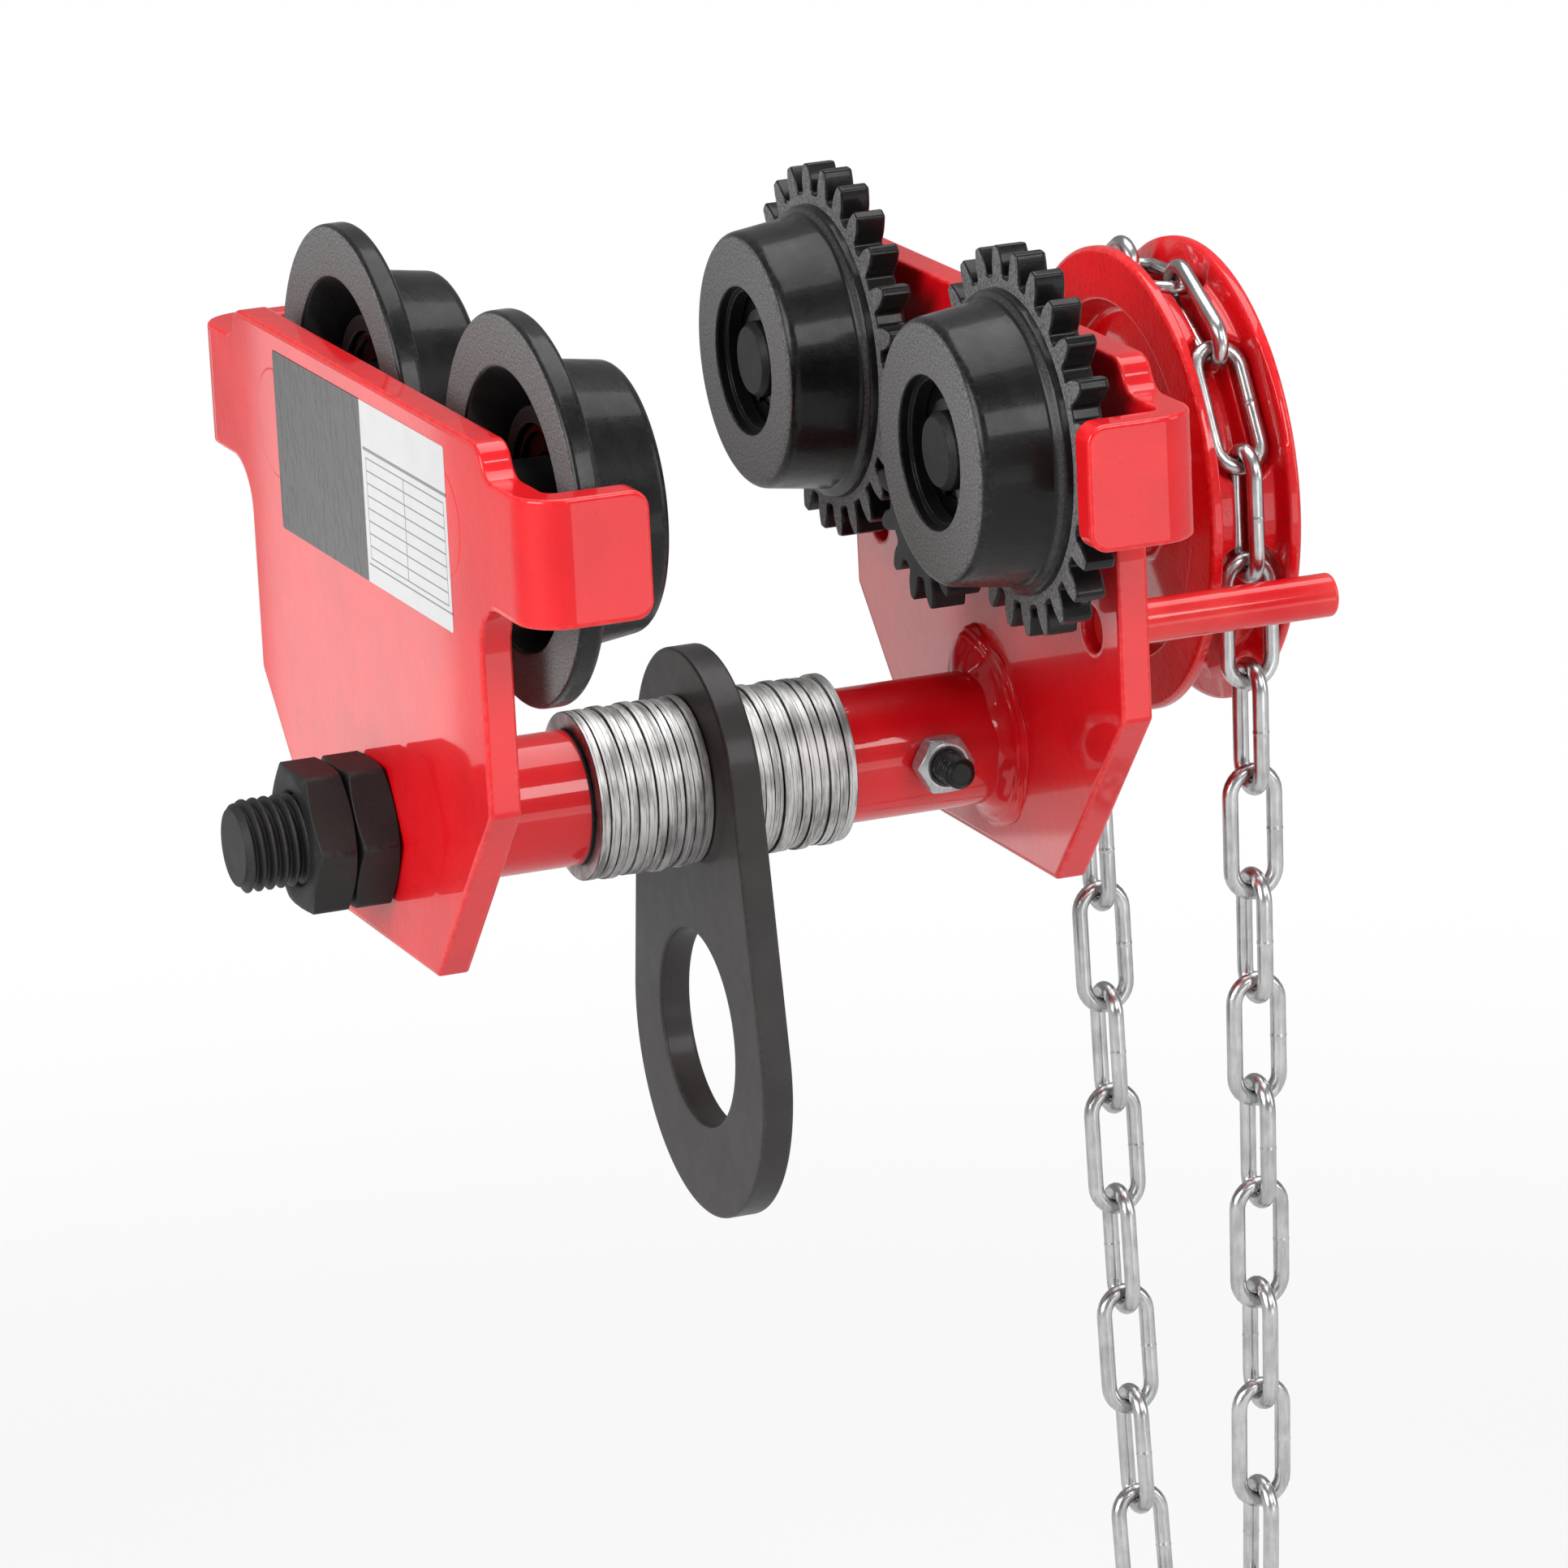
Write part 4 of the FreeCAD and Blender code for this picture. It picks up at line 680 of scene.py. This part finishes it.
def threaded(start, end, major, depth, pitch, centre, axis="x", around=72, lead=1.6):
    """Screw surface from start to end.

    The radius is the major radius less a rounded triangle wave of (distance / pitch - angle /
    full turn), and it closes to a chamfered, flat end at start.
    """
    way = math.copysign(1, end - start)
    rows = np.arange(0, abs(end - start) + 0.01, pitch / 14)
    angle = even_angles(around)
    phase = rows[:, None] / pitch - way * angle[None] / (2 * math.pi)
    wave = np.abs((phase % 1) * 2 - 1)
    groove = np.clip(wave * 1.5 - 0.25, 0, 1)
    chamfer = major - lead + np.clip(rows - 0.1, 0, None)[:, None] * 1.1
    radius = np.minimum(major - depth * (1 - groove), chamfer)
    radius[-1] = major - depth
    blank = np.zeros((1, around))
    # Crests carry the edge value, which the black finishes paint lighter: partly wear, partly a
    # painted highlight along the crests.
    wear_and_highlight = np.concatenate([blank, blank, (radius > major - depth * 0.25) * 0.8, blank])
    radius = np.concatenate([blank, radius[:1] - 0.5, radius, blank])
    along = start + way * np.concatenate([[0, 0], rows, rows[-1:]])
    return woven(about(centre, along[:, None], radius, angle, axis), False, wear_and_highlight)


BAR, BAR_TURNED = 10.0, 9.2
bar_low, bar_high = span("load_bar")
thread_end = left_out - 13.2  # inside the outer nut
bar_length = bar_high[0] - thread_end
profile = [
    (0, 0), (0, BAR_TURNED, 0.246), (bar_length - 1.4, BAR, 0.5), (bar_length, 8.6, 0.5),
    (bar_length, 0),
]
bar = turned(profile, bar_line, start=thread_end, closed=False, around=96)
screw = threaded(bar_low[0], thread_end + 0.6, BAR, 1.55, 2.5, bar_line)
piece("load_bar_steel", joined(screw, bar), ["load_bar"], oxide_black)


def spun(node, kind, corners, finish, centre=None, side=1, start=None, **how):
    """A piece turned about a line along X, by default the middle line of its CAD node."""
    centre = middle(node)[1:] if centre is None else centre
    start = span(node)[0][0] if start is None else start
    return piece(f"{node}_{kind}", turned(corners, centre, side, start, **how), [node], finish)


SLEEVE_INNER, SLEEVE = 10.5, 14.8


def tube(node, inner=SLEEVE_INNER, outer=SLEEVE):
    """Red tube between the ends of a CAD node."""
    end = length(node)
    corners = [(0, inner, 0.3), (end, inner, 0.3), (end, outer, 0.6), (0, outer, 0.6)]
    return spun(node, "steel", corners, tube_red, around=110)


# The left sleeve's end face by the washers takes the black finish, a dark ring where sleeve and
# washers meet.
paint_over(tube("left_sleeve"), oxide_black, span("left_sleeve")[1][0])
tube("right_sleeve")


def weld_bead(node):
    """Fillet weld spun round the sleeve, painted over.

    Its section is a curve from a toe on the sleeve to a toe on the plate, (1 - t)^2 first +
    2 t (1 - t) waist + t^2 last, with two low ridges near the plate; both legs swell and sink
    with the angle, and heap up at the top, where the run began and ended.
    """
    around = 240
    angle = even_angles(around)
    heap = np.exp(-(((angle - 1.30) / 0.34) ** 4)) * (0.9 + 0.1 * np.cos(angle * 19))
    leg = 4.6 + 0.35 * np.sin(3 * angle + 0.4) + 0.2 * np.sin(8 * angle) + 2.6 * heap
    climb = 6.4 + 0.4 * np.sin(2 * angle + 1) + 0.25 * np.sin(7 * angle) + 3.6 * heap
    t = np.linspace(0, 1, 22)[:, None]
    waist = 0.36 + 0.5 * heap
    along = (1 - t) ** 2 * leg + 2 * t * (1 - t) * waist * leg
    out = t**2 * climb + 2 * t * (1 - t) * waist * climb
    ridge = np.exp(-(((t - 0.62) / 0.06) ** 2)) + 1.3 * np.exp(-(((t - 0.82) / 0.05) ** 2))
    swell = 0.16 * ridge * (1 + 0.5 * np.sin(5 * angle + 2)) + 0.1 * np.sin(9 * angle + 9 * t) * t
    along, out = along + swell, out + swell
    x = span(node)[1][0] - np.concatenate([along, np.full((1, around), -0.1), leg[None]])
    radius = np.concatenate([SLEEVE - 0.08 + out, np.full((2, around), SLEEVE - 0.7)])
    piece(node + "_bead", woven(about(bar_line, x, radius, angle)), [node], weld_red)


weld_bead("sleeve_weld")


def washer_zinc():
    """Dull zinc on cut washers: bright and dark bands from the shears, and rims darkened near to
    black, a dark line at each joint.
    """
    paint = Finish("washer_zinc", Metallic=1.0)
    bands = paint.streaks((330, 60, 60), 3.0, 0.6)
    fine = paint.streaks((1500, 240, 240), 3.0, 0.6)
    share = (bands * 0.65 + fine * 0.35).clear(0.38, 0.58)
    tone = paint.blend(share, (0.28, 0.275, 0.27), (0.60, 0.595, 0.59))
    # Rounded rims darkened near to black, drawing a dark line at each joint between washers.
    dark_rims = paint.edge() * (0.6 + 0.4 * paint.noise(4.0, 3.0).clear(0.35, 0.65))
    return paint.feed(
        Base_Color=paint.blend(dark_rims, tone, (0.02, 0.019, 0.018)),
        Roughness=0.40 + bands * 0.16,
        Normal=paint.relief(fine, 0.03),
    )


def washers(node, seed, count=12, bore=SLEEVE_INNER, radius=18.5, play=0.3):
    """Stack of punched washers, each a little off the bar's line and with its own edge."""
    pitch = length(node) / count
    rng = np.random.default_rng(seed)
    shells = []
    for number in range(count):
        turn = math.radians(137.5) * number
        centre = (bar_y + play * math.cos(turn), bar_z + play * math.sin(turn))
        gap = 0.03 + 0.05 * rng.random() ** 2
        outer = radius - 0.2 * rng.random()
        burr = 0.09 + 0.09 * rng.random()
        step = 0.02 + 0.05 * rng.random()
        split = pitch * (0.3 + 0.4 * rng.random())
        corners = [
            (gap, bore), (pitch - gap, bore), (pitch - gap, outer, 0.1),
            (split + step, outer, 0.02), (split, outer - step, 0.02), (gap, outer - step, burr),
        ]
        place = span(node)[0][0] + pitch * number
        shells.append(turned(corners, centre, start=place, around=96, steps=2, hold=0.05))
    piece(node + "_zinc", joined(*shells), [node], zinc_rings)


zinc_rings = washer_zinc()
washers("left_spacers", seed=3)
washers("right_spacers", seed=8)


def hexagonal(start, thickness, flats, bore, cone, centre, axis="x", slope=3.2):
    """Hexagon nut: each ring's radius is the lesser of the rounded hexagon and a cone.

    The hexagon's radius at an angle is half the flats over the cosine of the angle from the
    nearest flat's middle, eased near the corners; the cone opens from a circle on the face.
    """
    angle = even_angles(180)
    off = np.abs(angle % (math.pi / 3) - math.pi / 6)
    corner = flats / math.sqrt(3)
    hexagon = np.minimum(flats / 2 / np.cos(off), corner * 0.987)
    rise = np.linspace(0, (corner - cone) / slope, 10)
    stages = np.concatenate([rise, [thickness / 2], thickness - rise[::-1]])
    reach = np.minimum(stages, thickness - stages)
    radius = np.minimum(hexagon, (cone + slope * reach)[:, None])
    lip = np.array([[bore], [bore + 0.9], [cone - 0.4]]) * np.ones(len(angle))
    radius = np.concatenate([lip, radius, lip[::-1]])
    along = np.concatenate([[0.8, 0.0, 0.0], stages, [thickness] * 2, [thickness - 0.8]])
    edge = np.zeros(radius.shape)
    edge[3:-3] = hexagon > corner * 0.975
    return woven(about(centre, (start + along)[:, None], radius, angle, axis), edge=edge)


NUT_GAP = 0.06
for node in ("inner_nut", "outer_nut"):
    start = span(node)[0][0] + NUT_GAP
    nut = hexagonal(start, length(node) - 2 * NUT_GAP, 30.0, 9.9, 14.2, bar_line)
    piece(node + "_steel", nut, [node], oxide_black)

cross_low, cross_high = span("cross_bolt")
small_low, small_high = span("cross_bolt_nut")
cross_line, head_start, thread_stop = (middle("cross_bolt_nut")[0], bar_z), 14.85, -14.0
small = {"flats": 11.8, "cone": 5.1, "centre": cross_line, "axis": "y", "slope": 1.5}
small_nut = hexagonal(small_low[1] - 0.2, small_high[1] - small_low[1], bore=3.6, **small)
piece("cross_bolt_nut_zinc", small_nut, ["cross_bolt_nut"], bright_zinc)
screw = threaded(cross_low[1], thread_stop, 3.5, 0.75, 1.25, cross_line, "y", 48, 1.0)
head = hexagonal(head_start, cross_high[1] - head_start, bore=0.2, **small)
piece("cross_bolt_steel", joined(screw, head), ["cross_bolt"], thread_black)


# The load plate lies between two arcs and their common tangents.
PLATE_TOP, PLATE_BOTTOM, DROP, EYE_DROP, EYE = 29.0, 38.4, 60.0, 56.0, 22.0
lean = math.asin((PLATE_BOTTOM - PLATE_TOP) / DROP)
upper = np.linspace(lean, math.pi - lean, 72)
lower = np.linspace(math.pi - lean, 2 * math.pi + lean, 96)
outline = [
    np.stack([PLATE_TOP * np.cos(upper), bar_z + PLATE_TOP * np.sin(upper)], 1),
    np.stack([PLATE_BOTTOM * np.cos(lower), bar_z - DROP + PLATE_BOTTOM * np.sin(lower)], 1),
]
holes = [circle(0, bar_z, BAR_HOLE), circle(0, bar_z - EYE_DROP, EYE, 96)]
plate = slab(np.concatenate(outline), holes, length("load_plate"), 0.55)
plate = shifted(plate, span("load_plate")[0][0])
piece("load_plate_steel", plate, ["load_plate"], plate_black)


# ---- wheels and gears

TREAD, FLANGE, GEAR = 18.8, 5.7, 7.0
RECESS, RACE_END, KEEPER_END, AXLE, COLLAR, HEAD = 5.8, 15.8, 17.0, 8.5, 10.4, 12.3
HUB = [
    (9, 26, 2), (9, 21, 1.2), (18.2, 21, 0.6), (18.2, 17.5, 0.3), (17.1, 17.5),
    (17.1, 18.3), (RACE_END, 18.3), (RACE_END, 17.5), (RECESS, 17.5), (RECESS, 15.3, 0.3),
    (2.4, 15.3, 0.3), (2.4, 16.5, 0.3), (0, 16.5, 0.5),
]
WHEEL_TEETH, PINION_TEETH = 26, 13
MODULE, PRESSURE, THINNING = 3.0, math.radians(20.0), 0.25


def plain_wheel(node, way, face):
    """Cast wheel with a plain flange."""
    back = TREAD + FLANGE
    corners = [
        (0, 28.4, 2.3), (TREAD, 31, 1.2), (TREAD, 41.5, 1.3), (back, 41.5, 1.3),
        (back, 30, 0.8),
    ]
    centre = (way * wheel_y, wheel_z)
    spun(node, "cast", corners + HUB, cast_black, centre, -1, face, around=150, steps=6)


def gear_outline(teeth, tip, root, first):
    """Involute teeth: each flank's half angle at a radius is the half tooth at the pitch circle
    plus inv(pressure angle) - inv(acos(base / radius)), where inv(a) = tan(a) - a; the foot and
    the tip are rounded."""
    pitch = teeth * MODULE / 2
    base = pitch * math.cos(PRESSURE)
    radii = np.linspace(max(base, root + 0.3), tip, 5)
    lean = np.arccos(base / radii)
    at_pitch = (math.pi * MODULE / 2 - THINNING) / (2 * pitch)
    halves = at_pitch + math.tan(PRESSURE) - PRESSURE - (np.tan(lean) - lean)
    radius = np.concatenate([[root], radii, radii[::-1], [root]])
    offset = np.concatenate([[-halves[0]], -halves, halves[::-1], [halves[0]]])
    fillet = np.array([1.45, 0, 0, 0, 0, 0.75, 0.75, 0, 0, 0, 0, 1.45])
    angle = math.radians(first) + even_angles(teeth)[:, None] + offset
    y, z = radius * np.cos(angle), radius * np.sin(angle)
    corners = np.stack([y, z, np.broadcast_to(fillet, y.shape)], -1).reshape(-1, 3)
    return rounded(corners, steps=3, hold=0.25)[0]


def first_tooth(way):
    """Angle of a wheel gear's first tooth, so that one of its gaps takes the pinion's tooth."""
    line = math.degrees(math.atan2(wheel_z - drive_z, way * wheel_y))
    return line + 180 - (90 - line) * PINION_TEETH / WHEEL_TEETH + 180 / WHEEL_TEETH


def geared_wheel(node, way, face):
    """Cast wheel whose flange is a gear, with a rolled bead where the tread meets it."""
    back = TREAD + GEAR
    corners = [
        (0, 28.4, 2.6), (TREAD - 3, 30.6, 1.3), (TREAD - 1.6, 32.5, 1),
        (TREAD + 0.4, 32.9, 0.2), (back - 1, 32.2, 0.1), (back, 31.2, 0.2), (back, 30, 0.8),
    ]
    centre = (way * wheel_y, wheel_z)
    body = turned(corners + HUB, centre, 1, face, around=150, steps=6)
    outline = gear_outline(WHEEL_TEETH, 41.7, 35.03, first_tooth(way))
    ring = slab(outline, [circle(0, 0, 31.6, 120)], GEAR, 0.6, hold=1.2)
    ring = shifted(ring, face + TREAD, *centre)
    piece(node + "_cast", joined(body, ring), [node], cast_black)


RINGS = {
    "bearing_outer": (bearing_steel, [
        (RECESS + 0.05, 10.95, 0.2), (RECESS + 0.05, 17.4, 0.3), (RACE_END - 0.05, 17.4, 0.3),
        (RACE_END - 0.05, 10.95, 0.3),
    ]),
    "bearing_inner": (bearing_steel, [
        (RECESS, 8.52, 0.2), (RECESS, 10.6, 0.3), (RACE_END, 10.6, 0.3), (RACE_END, 8.52, 0.2),
    ]),
    "retaining_ring": (ring_steel, [
        (RACE_END, 15.6, 0.15), (RACE_END, 18.2), (KEEPER_END, 18.2), (KEEPER_END, 15.6, 0.15),
    ]),
}


def open_ring(node, inner=7.95, outer=11.1, width=1.1, mouth=5.0):
    """Spring ring with its gap at the bottom, as a slab of the arc's outline."""
    low, high = span(node)
    half = mouth / 2 / inner
    turn = np.linspace(-math.pi / 2 + half, 1.5 * math.pi - half, 64)
    round_part = np.stack([np.cos(turn), np.sin(turn)], 1)
    outline = np.concatenate([round_part * outer, round_part[::-1] * inner])
    ring = shifted(slab(outline, [], width, 0.12), low[0], middle(node)[1], high[2] - outer)
    piece(node + "_spring", ring, [node], ring_steel)


def axle(node, centre, side, face, head):
    """Axle with a seat, a collar and a head that ends flush with the plate, painted red there."""
    corners = [
        (1.5, 0), (1.5, 7.4, 0.5), (2.9, AXLE, 0.6), (4.5, AXLE), (4.5, 7.9), (RECESS, 7.9),
        (RECESS, AXLE), (RACE_END, AXLE), (RACE_END, COLLAR, 0.4), (33.1, COLLAR, 0.2),
        (33.1, AXLE), (36.5, AXLE), (39.3, HEAD), (head + 0.05, HEAD, 0.3), (head + 0.05, 0),
    ]
    shaft = spun(node, "steel", corners, oxide_black, centre, side, face, closed=False, around=96)
    paint_over(shaft, plate_red, face + side * head)


for where, way in (("front", -1), ("rear", 1)):
    plain, geared = "plain_wheel_" + where, "geared_wheel_" + where
    plain_face, geared_face = span(plain)[1][0], span(geared)[0][0]
    plain_wheel(plain, way, plain_face)
    geared_wheel(geared, way, geared_face)
    centre = (way * wheel_y, wheel_z)
    for end, side, face, out in (
        ("left", -1, plain_face, left_out), ("right", 1, geared_face, right_out)
    ):
        mark = f"_{end}_{where}"
        for ring, (finish, corners) in RINGS.items():
            spun(ring + mark, "ring", corners, finish, centre, side, face, around=80)
        open_ring("axle_circlip" + mark)
        axle("axle" + mark, centre, side, face, (out - face) * side)


# ---- hand drive

SHAFT, SHOULDER, SHOULDER_END = 8.0, 12.0, 66.1
drive_line = (0.0, drive_z)


def smooth_step(value, low, high):
    """0 below low, 1 above high, 3 t^2 - 2 t^3 between."""
    share = np.clip((value - low) / (high - low), 0, 1)
    return share * share * (3 - 2 * share)


def hand_chain_wheel(node):
    """Pocketed wheel as one closed loop of rings.

    Across the groove the radius falls from the rims to the pads by smooth steps; it is cut down
    to the slot's floor near the middle plane, and to each pocket's floor inside a flat link's
    stadium, where the floor is a plane: its distance / cos(angle from the pocket's middle).
    """
    around, sixth = 720, math.pi / 3
    rim, width, hub_reach = 2.95, 21.4, 5.5
    top, pads, floor, slot_floor, hub, bore = 51.2, 46.6, 41.7, 37.4, 17.0, 8.02
    angle = even_angles(around)
    x = np.arange(rim - 0.6, width - rim + 0.61, 0.31)[:, None]
    off = np.abs(x - width / 2)
    radius = pads + (top - pads) * smooth_step(off, width / 2 - rim - 1.5, width / 2 - rim + 0.45)
    lean = (angle - math.pi / 2 + sixth / 2) % sixth - sixth / 2
    along = 44.3 * np.sin(lean)
    reach = np.hypot(np.maximum(np.abs(along) - 8.5, 0), off)
    radius = radius + (floor / np.cos(lean) - radius) * (1 - smooth_step(reach, 7.2, 8.3))
    radius = radius + np.minimum(slot_floor - radius, 0) * (1 - smooth_step(off, 2.2, 3.1))
    sides = [
        (width - rim + 0.62, top, 0.3), (width, top, 1.2), (width, 39.6, 0.8),
        (width - 6.5, 37.6, 2), (width - 6.5, hub, 2), (width + 2, hub - 2, 0.8),
        (width + 2, bore, 0.4), (-hub_reach, bore, 0.4), (-hub_reach, hub - 2, 0.8),
        (6.5, hub, 2), (6.5, 37.6, 2), (0, 39.6, 0.8), (0, top, 1.2),
        (rim - 0.62, top, 0.3),
    ]
    profile, edge = rounded(sides, closed=False, steps=5)
    radii = np.concatenate([radius, np.repeat(profile[:, 1:], around, 1)])
    places = np.concatenate([x, profile[:, :1]])
    edge_value = np.concatenate([np.zeros(len(x)), edge])[:, None]
    start = span(node)[0][0] + hub_reach
    shell = woven(about(drive_line, start + places, radii, angle), edge=edge_value)
    piece(node + "_cast", shell, [node], cast_red)


# Pinion, shoulder and shaft.
start, end = span("drive_shaft")[0][0], length("drive_shaft")
shoulder = SHOULDER_END - start
corners = [
    (0, 0), (0, SHOULDER, 0.4), (shoulder, SHOULDER, 0.3), (shoulder, SHAFT), (end, SHAFT, 1),
    (end, 0),
]
stem = turned(corners, drive_line, 1, start, closed=False, around=96)
outline = gear_outline(PINION_TEETH, 22.5, 16.05, 90.0)
ring = slab(outline, [circle(0, 0, 9.0, 48)], 7.8, 0.42, hold=1.2)
pinion = shifted(ring, start, *drive_line)
piece("drive_shaft_steel", joined(stem, pinion), ["drive_shaft"], oxide_black)

hand_chain_wheel("hand_chain_wheel")
bush_length = length("shaft_bush")
bush = [
    (0, 8.05, 0.3), (bush_length, 8.05, 0.3), (bush_length, 10.5, 0.3), (1.2, 10.5),
    (1.2, 13.5, 0.3), (0, 13.5, 0.3),
]
spun("shaft_bush", "bronze", bush, bush_bronze, drive_line)
tube("shaft_boss", 10.55, 15.0)
clip = [(0, 7.5, 0.1), (1.1, 7.5, 0.1), (1.1, 10.6, 0.2), (0, 10.6, 0.2)]
spun("shaft_circlip", "spring", clip, ring_steel, drive_line)
key_low, key_high = span("drive_key")
key_outline = rounded(rectangle(key_low[1:], key_high[1:], 0.4))[0]
key = slab(key_outline, [], length("drive_key"), 0.3, hold=1.2)
piece("drive_key_steel", shifted(key, key_low[0]), ["drive_key"], bearing_steel)

for rod in ("guide_rod_front", "guide_rod_rear"):
    corners = [(0, 0), (0, 4.75, 0.3), (length(rod), 4.75, 0.9), (length(rod), 0)]
    spun(rod, "steel", corners, rod_red, closed=False, around=72, steps=5)


# ---- hand chain

LINK_WIRE, LINK_WIDTH, LINK_LENGTH = 3.5, 14.0, 31.0


def one_link():
    """Round wire carried along a stadium; it swells a little at the butt weld in one leg.

    Returns the wire's points as (along the link, across it, out of its plane).
    """
    bow, leg = (LINK_WIDTH - LINK_WIRE) / 2, (LINK_LENGTH - LINK_WIDTH) / 2
    turn = np.linspace(-math.pi / 2, math.pi / 2, 15)
    bend = np.stack([leg + bow * np.cos(turn), bow * np.sin(turn)], 1)
    weld = np.array([0.9, 0.45, 0.15, -0.15, -0.45, -0.9])
    plain = np.array([-3.0, -1.5, 0, 1.5, 3.0])
    top = np.stack([weld, np.full(len(weld), bow)], 1)
    low = np.stack([plain, np.full(len(plain), -bow)], 1)
    path = np.concatenate([bend, top, -bend, low])
    swell = (np.abs(path[:, 0]) < 0.2) & (path[:, 1] > 0)
    ahead = unit(np.roll(path, -1, 0) - np.roll(path, 1, 0))
    side = np.stack([ahead[:, 1], -ahead[:, 0]], 1)
    angle = even_angles(16)
    radius = (LINK_WIRE / 2 + 0.09 * swell)[:, None]
    flat = path[:, None] + side[:, None] * (radius * np.cos(angle))[..., None]
    rise = radius * np.sin(angle)
    return np.concatenate([flat, rise[..., None]], 2), swell[:, None]


def hand_chain(node, count):
    """All links of one CAD node, each laid on its solid's place: the solids follow one another,
    and a link's longest and next longest directions are those of its points' spread."""
    wire, swell = one_link()
    mesh = frame["nodes"][node].data
    flat = np.zeros(len(mesh.vertices) * 3)
    mesh.vertices.foreach_get("co", flat)
    shells = []
    for cloud in flat.reshape(count, -1, 3) / MM:
        place = cloud.mean(0)
        across, along = np.linalg.eigh((cloud - place).T @ (cloud - place))[1].T[1:]
        along = -along if along[2] > 0 else along
        laid = place + wire @ np.stack([along, across, np.cross(along, across)])
        shells.append(woven(laid, edge=swell))
    piece(node + "_links", joined(*shells), [node], chain_zinc)


for part, count in (("top", 7), ("front", 14), ("rear", 14), ("bottom", 1)):
    hand_chain("hand_chain_" + part, count)


# ---- stage, light and camera


def stage_floor():
    """Large pale floor under the lowest link.

    It shows the camera a white that lets the object's shadow through near its foot, and shows
    mirrors the same white in front of the object and far behind it.
    """
    lowest, size = float(cad_box[0][2]) - 0.0005, 30.0
    mesh = bpy.data.meshes.new("floor")
    signs = [(-1, -1), (1, -1), (1, 1), (-1, 1)]
    mesh.from_pydata([(x * size, y * size, lowest) for x, y in signs], [], [(0, 1, 2, 3)])
    paint = Finish("floor_white", Roughness=0.9, Specular_IOR_Level=0.1)
    paint.feed(Base_Color=paint.blend(paint.noise(300.0), (0.60,) * 3, (0.64,) * 3))
    away = paint.node("ShaderNodeVectorMath", {"operation": "LENGTH"}, {0: paint.place()}, "Value")
    ahead = 1 - paint.axis(1).clear(-0.2, 0.3)
    mirrored = paint.path("Is Glossy Ray") * ahead.most(away.clear(2.2, 3.0)) * 0.45
    share = (paint.seen() * (0.75 + 0.25 * away.clear(0.5, 1.0))).most(mirrored)
    white = paint.tree.nodes.new("ShaderNodeEmission")
    mix = paint.tree.nodes.new("ShaderNodeMixShader")
    out = paint.tree.nodes["Material Output"]
    sources = (share.socket, paint.shader.outputs[0], white.outputs[0])
    for source, target in zip(sources, mix.inputs):
        paint.tree.links.new(source, target)
    paint.tree.links.new(mix.outputs[0], out.inputs["Surface"])
    mesh.materials.append(paint.owner)
    floor = linked("floor", mesh)


def studio_world():
    """White to the camera; to mirrors it is white near the horizon and dim overhead."""
    world = bpy.data.worlds.new("studio")
    paint = Tree(world)
    height = paint.axis(2, "Generated")
    mirrored = paint.path("Is Glossy Ray") * (1 - height.clear(0.0, 0.35)) * 0.45
    level = (0.25 + 0.1 * height).most(mirrored).most(paint.seen())
    back = paint.tree.nodes["Background"]
    back.inputs["Color"].default_value = (1, 1, 1, 1)
    paint.tree.links.new(level.socket, back.inputs["Strength"])
    bpy.context.scene.world = world


def studio_camera():
    """Camera of a long lens: right, up and forward from its turn, tilt and roll; the offsets
    move it sideways and up, so that the lens needs no shift."""
    turn, tilt, roll, distance = 0.3691, 0.2655, -0.0494, 1868.9
    aside, above, focal, picture, sensor = -17.595, 1.517, 10632.0, 1932.0, 36.0
    level = np.array([math.cos(turn), -math.sin(turn), 0.0])
    forward = np.array([math.sin(turn), math.cos(turn), -math.tan(tilt)]) * math.cos(tilt)
    upright = np.cross(level, forward)
    right = math.cos(roll) * level + math.sin(roll) * upright
    up = math.cos(roll) * upright - math.sin(roll) * level
    place = -aside * right - above * up - distance * forward + np.array([0, 0, bar_z])
    data = bpy.data.cameras.new("camera")
    data.sensor_width = sensor
    data.lens = sensor * focal / picture
    data.clip_end = 100.0
    camera = linked("camera", data)
    rows = np.stack([right, up, -forward, place * MM], 1).tolist()
    camera.matrix_world = Matrix([*rows, (0, 0, 0, 1)])
    bpy.context.scene.camera = camera


stage_floor()
studio_world()
for name, place, aim, size, watts in (
    ("left_box", (-1.6, -0.6, 0.7), (0, 0, -0.02), (1.2, 1.2), 32),
    ("front_box", (0.45, -1.6, 0.95), (0, 0, -0.05), (0.8, 0.6), 12),
    ("front_card", (0.42, -1.0, -0.19), (0, 0, 0), (0.56, 0.25), 0.7),
    ("top_box", (0.3, 0.2, 1.6), (0, 0, 0), (1.3, 1.3), 20),
    ("right_box", (1.5, -0.9, 0.5), (0.05, 0, 0), (0.7, 1.2), 7),
    ("card_left", (-0.338, 0.8, -0.19), (-0.07, 0, 0), (0.056, 0.15), 0.03),
    ("card_right", (-0.228, 0.8, -0.215), (0.07, 0, 0), (0.05, 0.23), 0.032),
    ("card_low", (-0.2575, 0.8, -0.342), (0.07, 0, -0.06), (0.09, 0.055), 0.02),
):
    light = bpy.data.lights.new(name, "AREA")
    light.shape = "RECTANGLE"
    light.size, light.size_y = size
    light.energy = watts
    lamp = linked(name, light)
    lamp.visible_camera = False
    lamp.location = place
    lamp.rotation_euler = (Vector(aim) - Vector(place)).to_track_quat("-Z", "Y").to_euler()
studio_camera()
bpy.context.scene.view_settings.view_transform = "Standard"
bpy.context.view_layer.update()
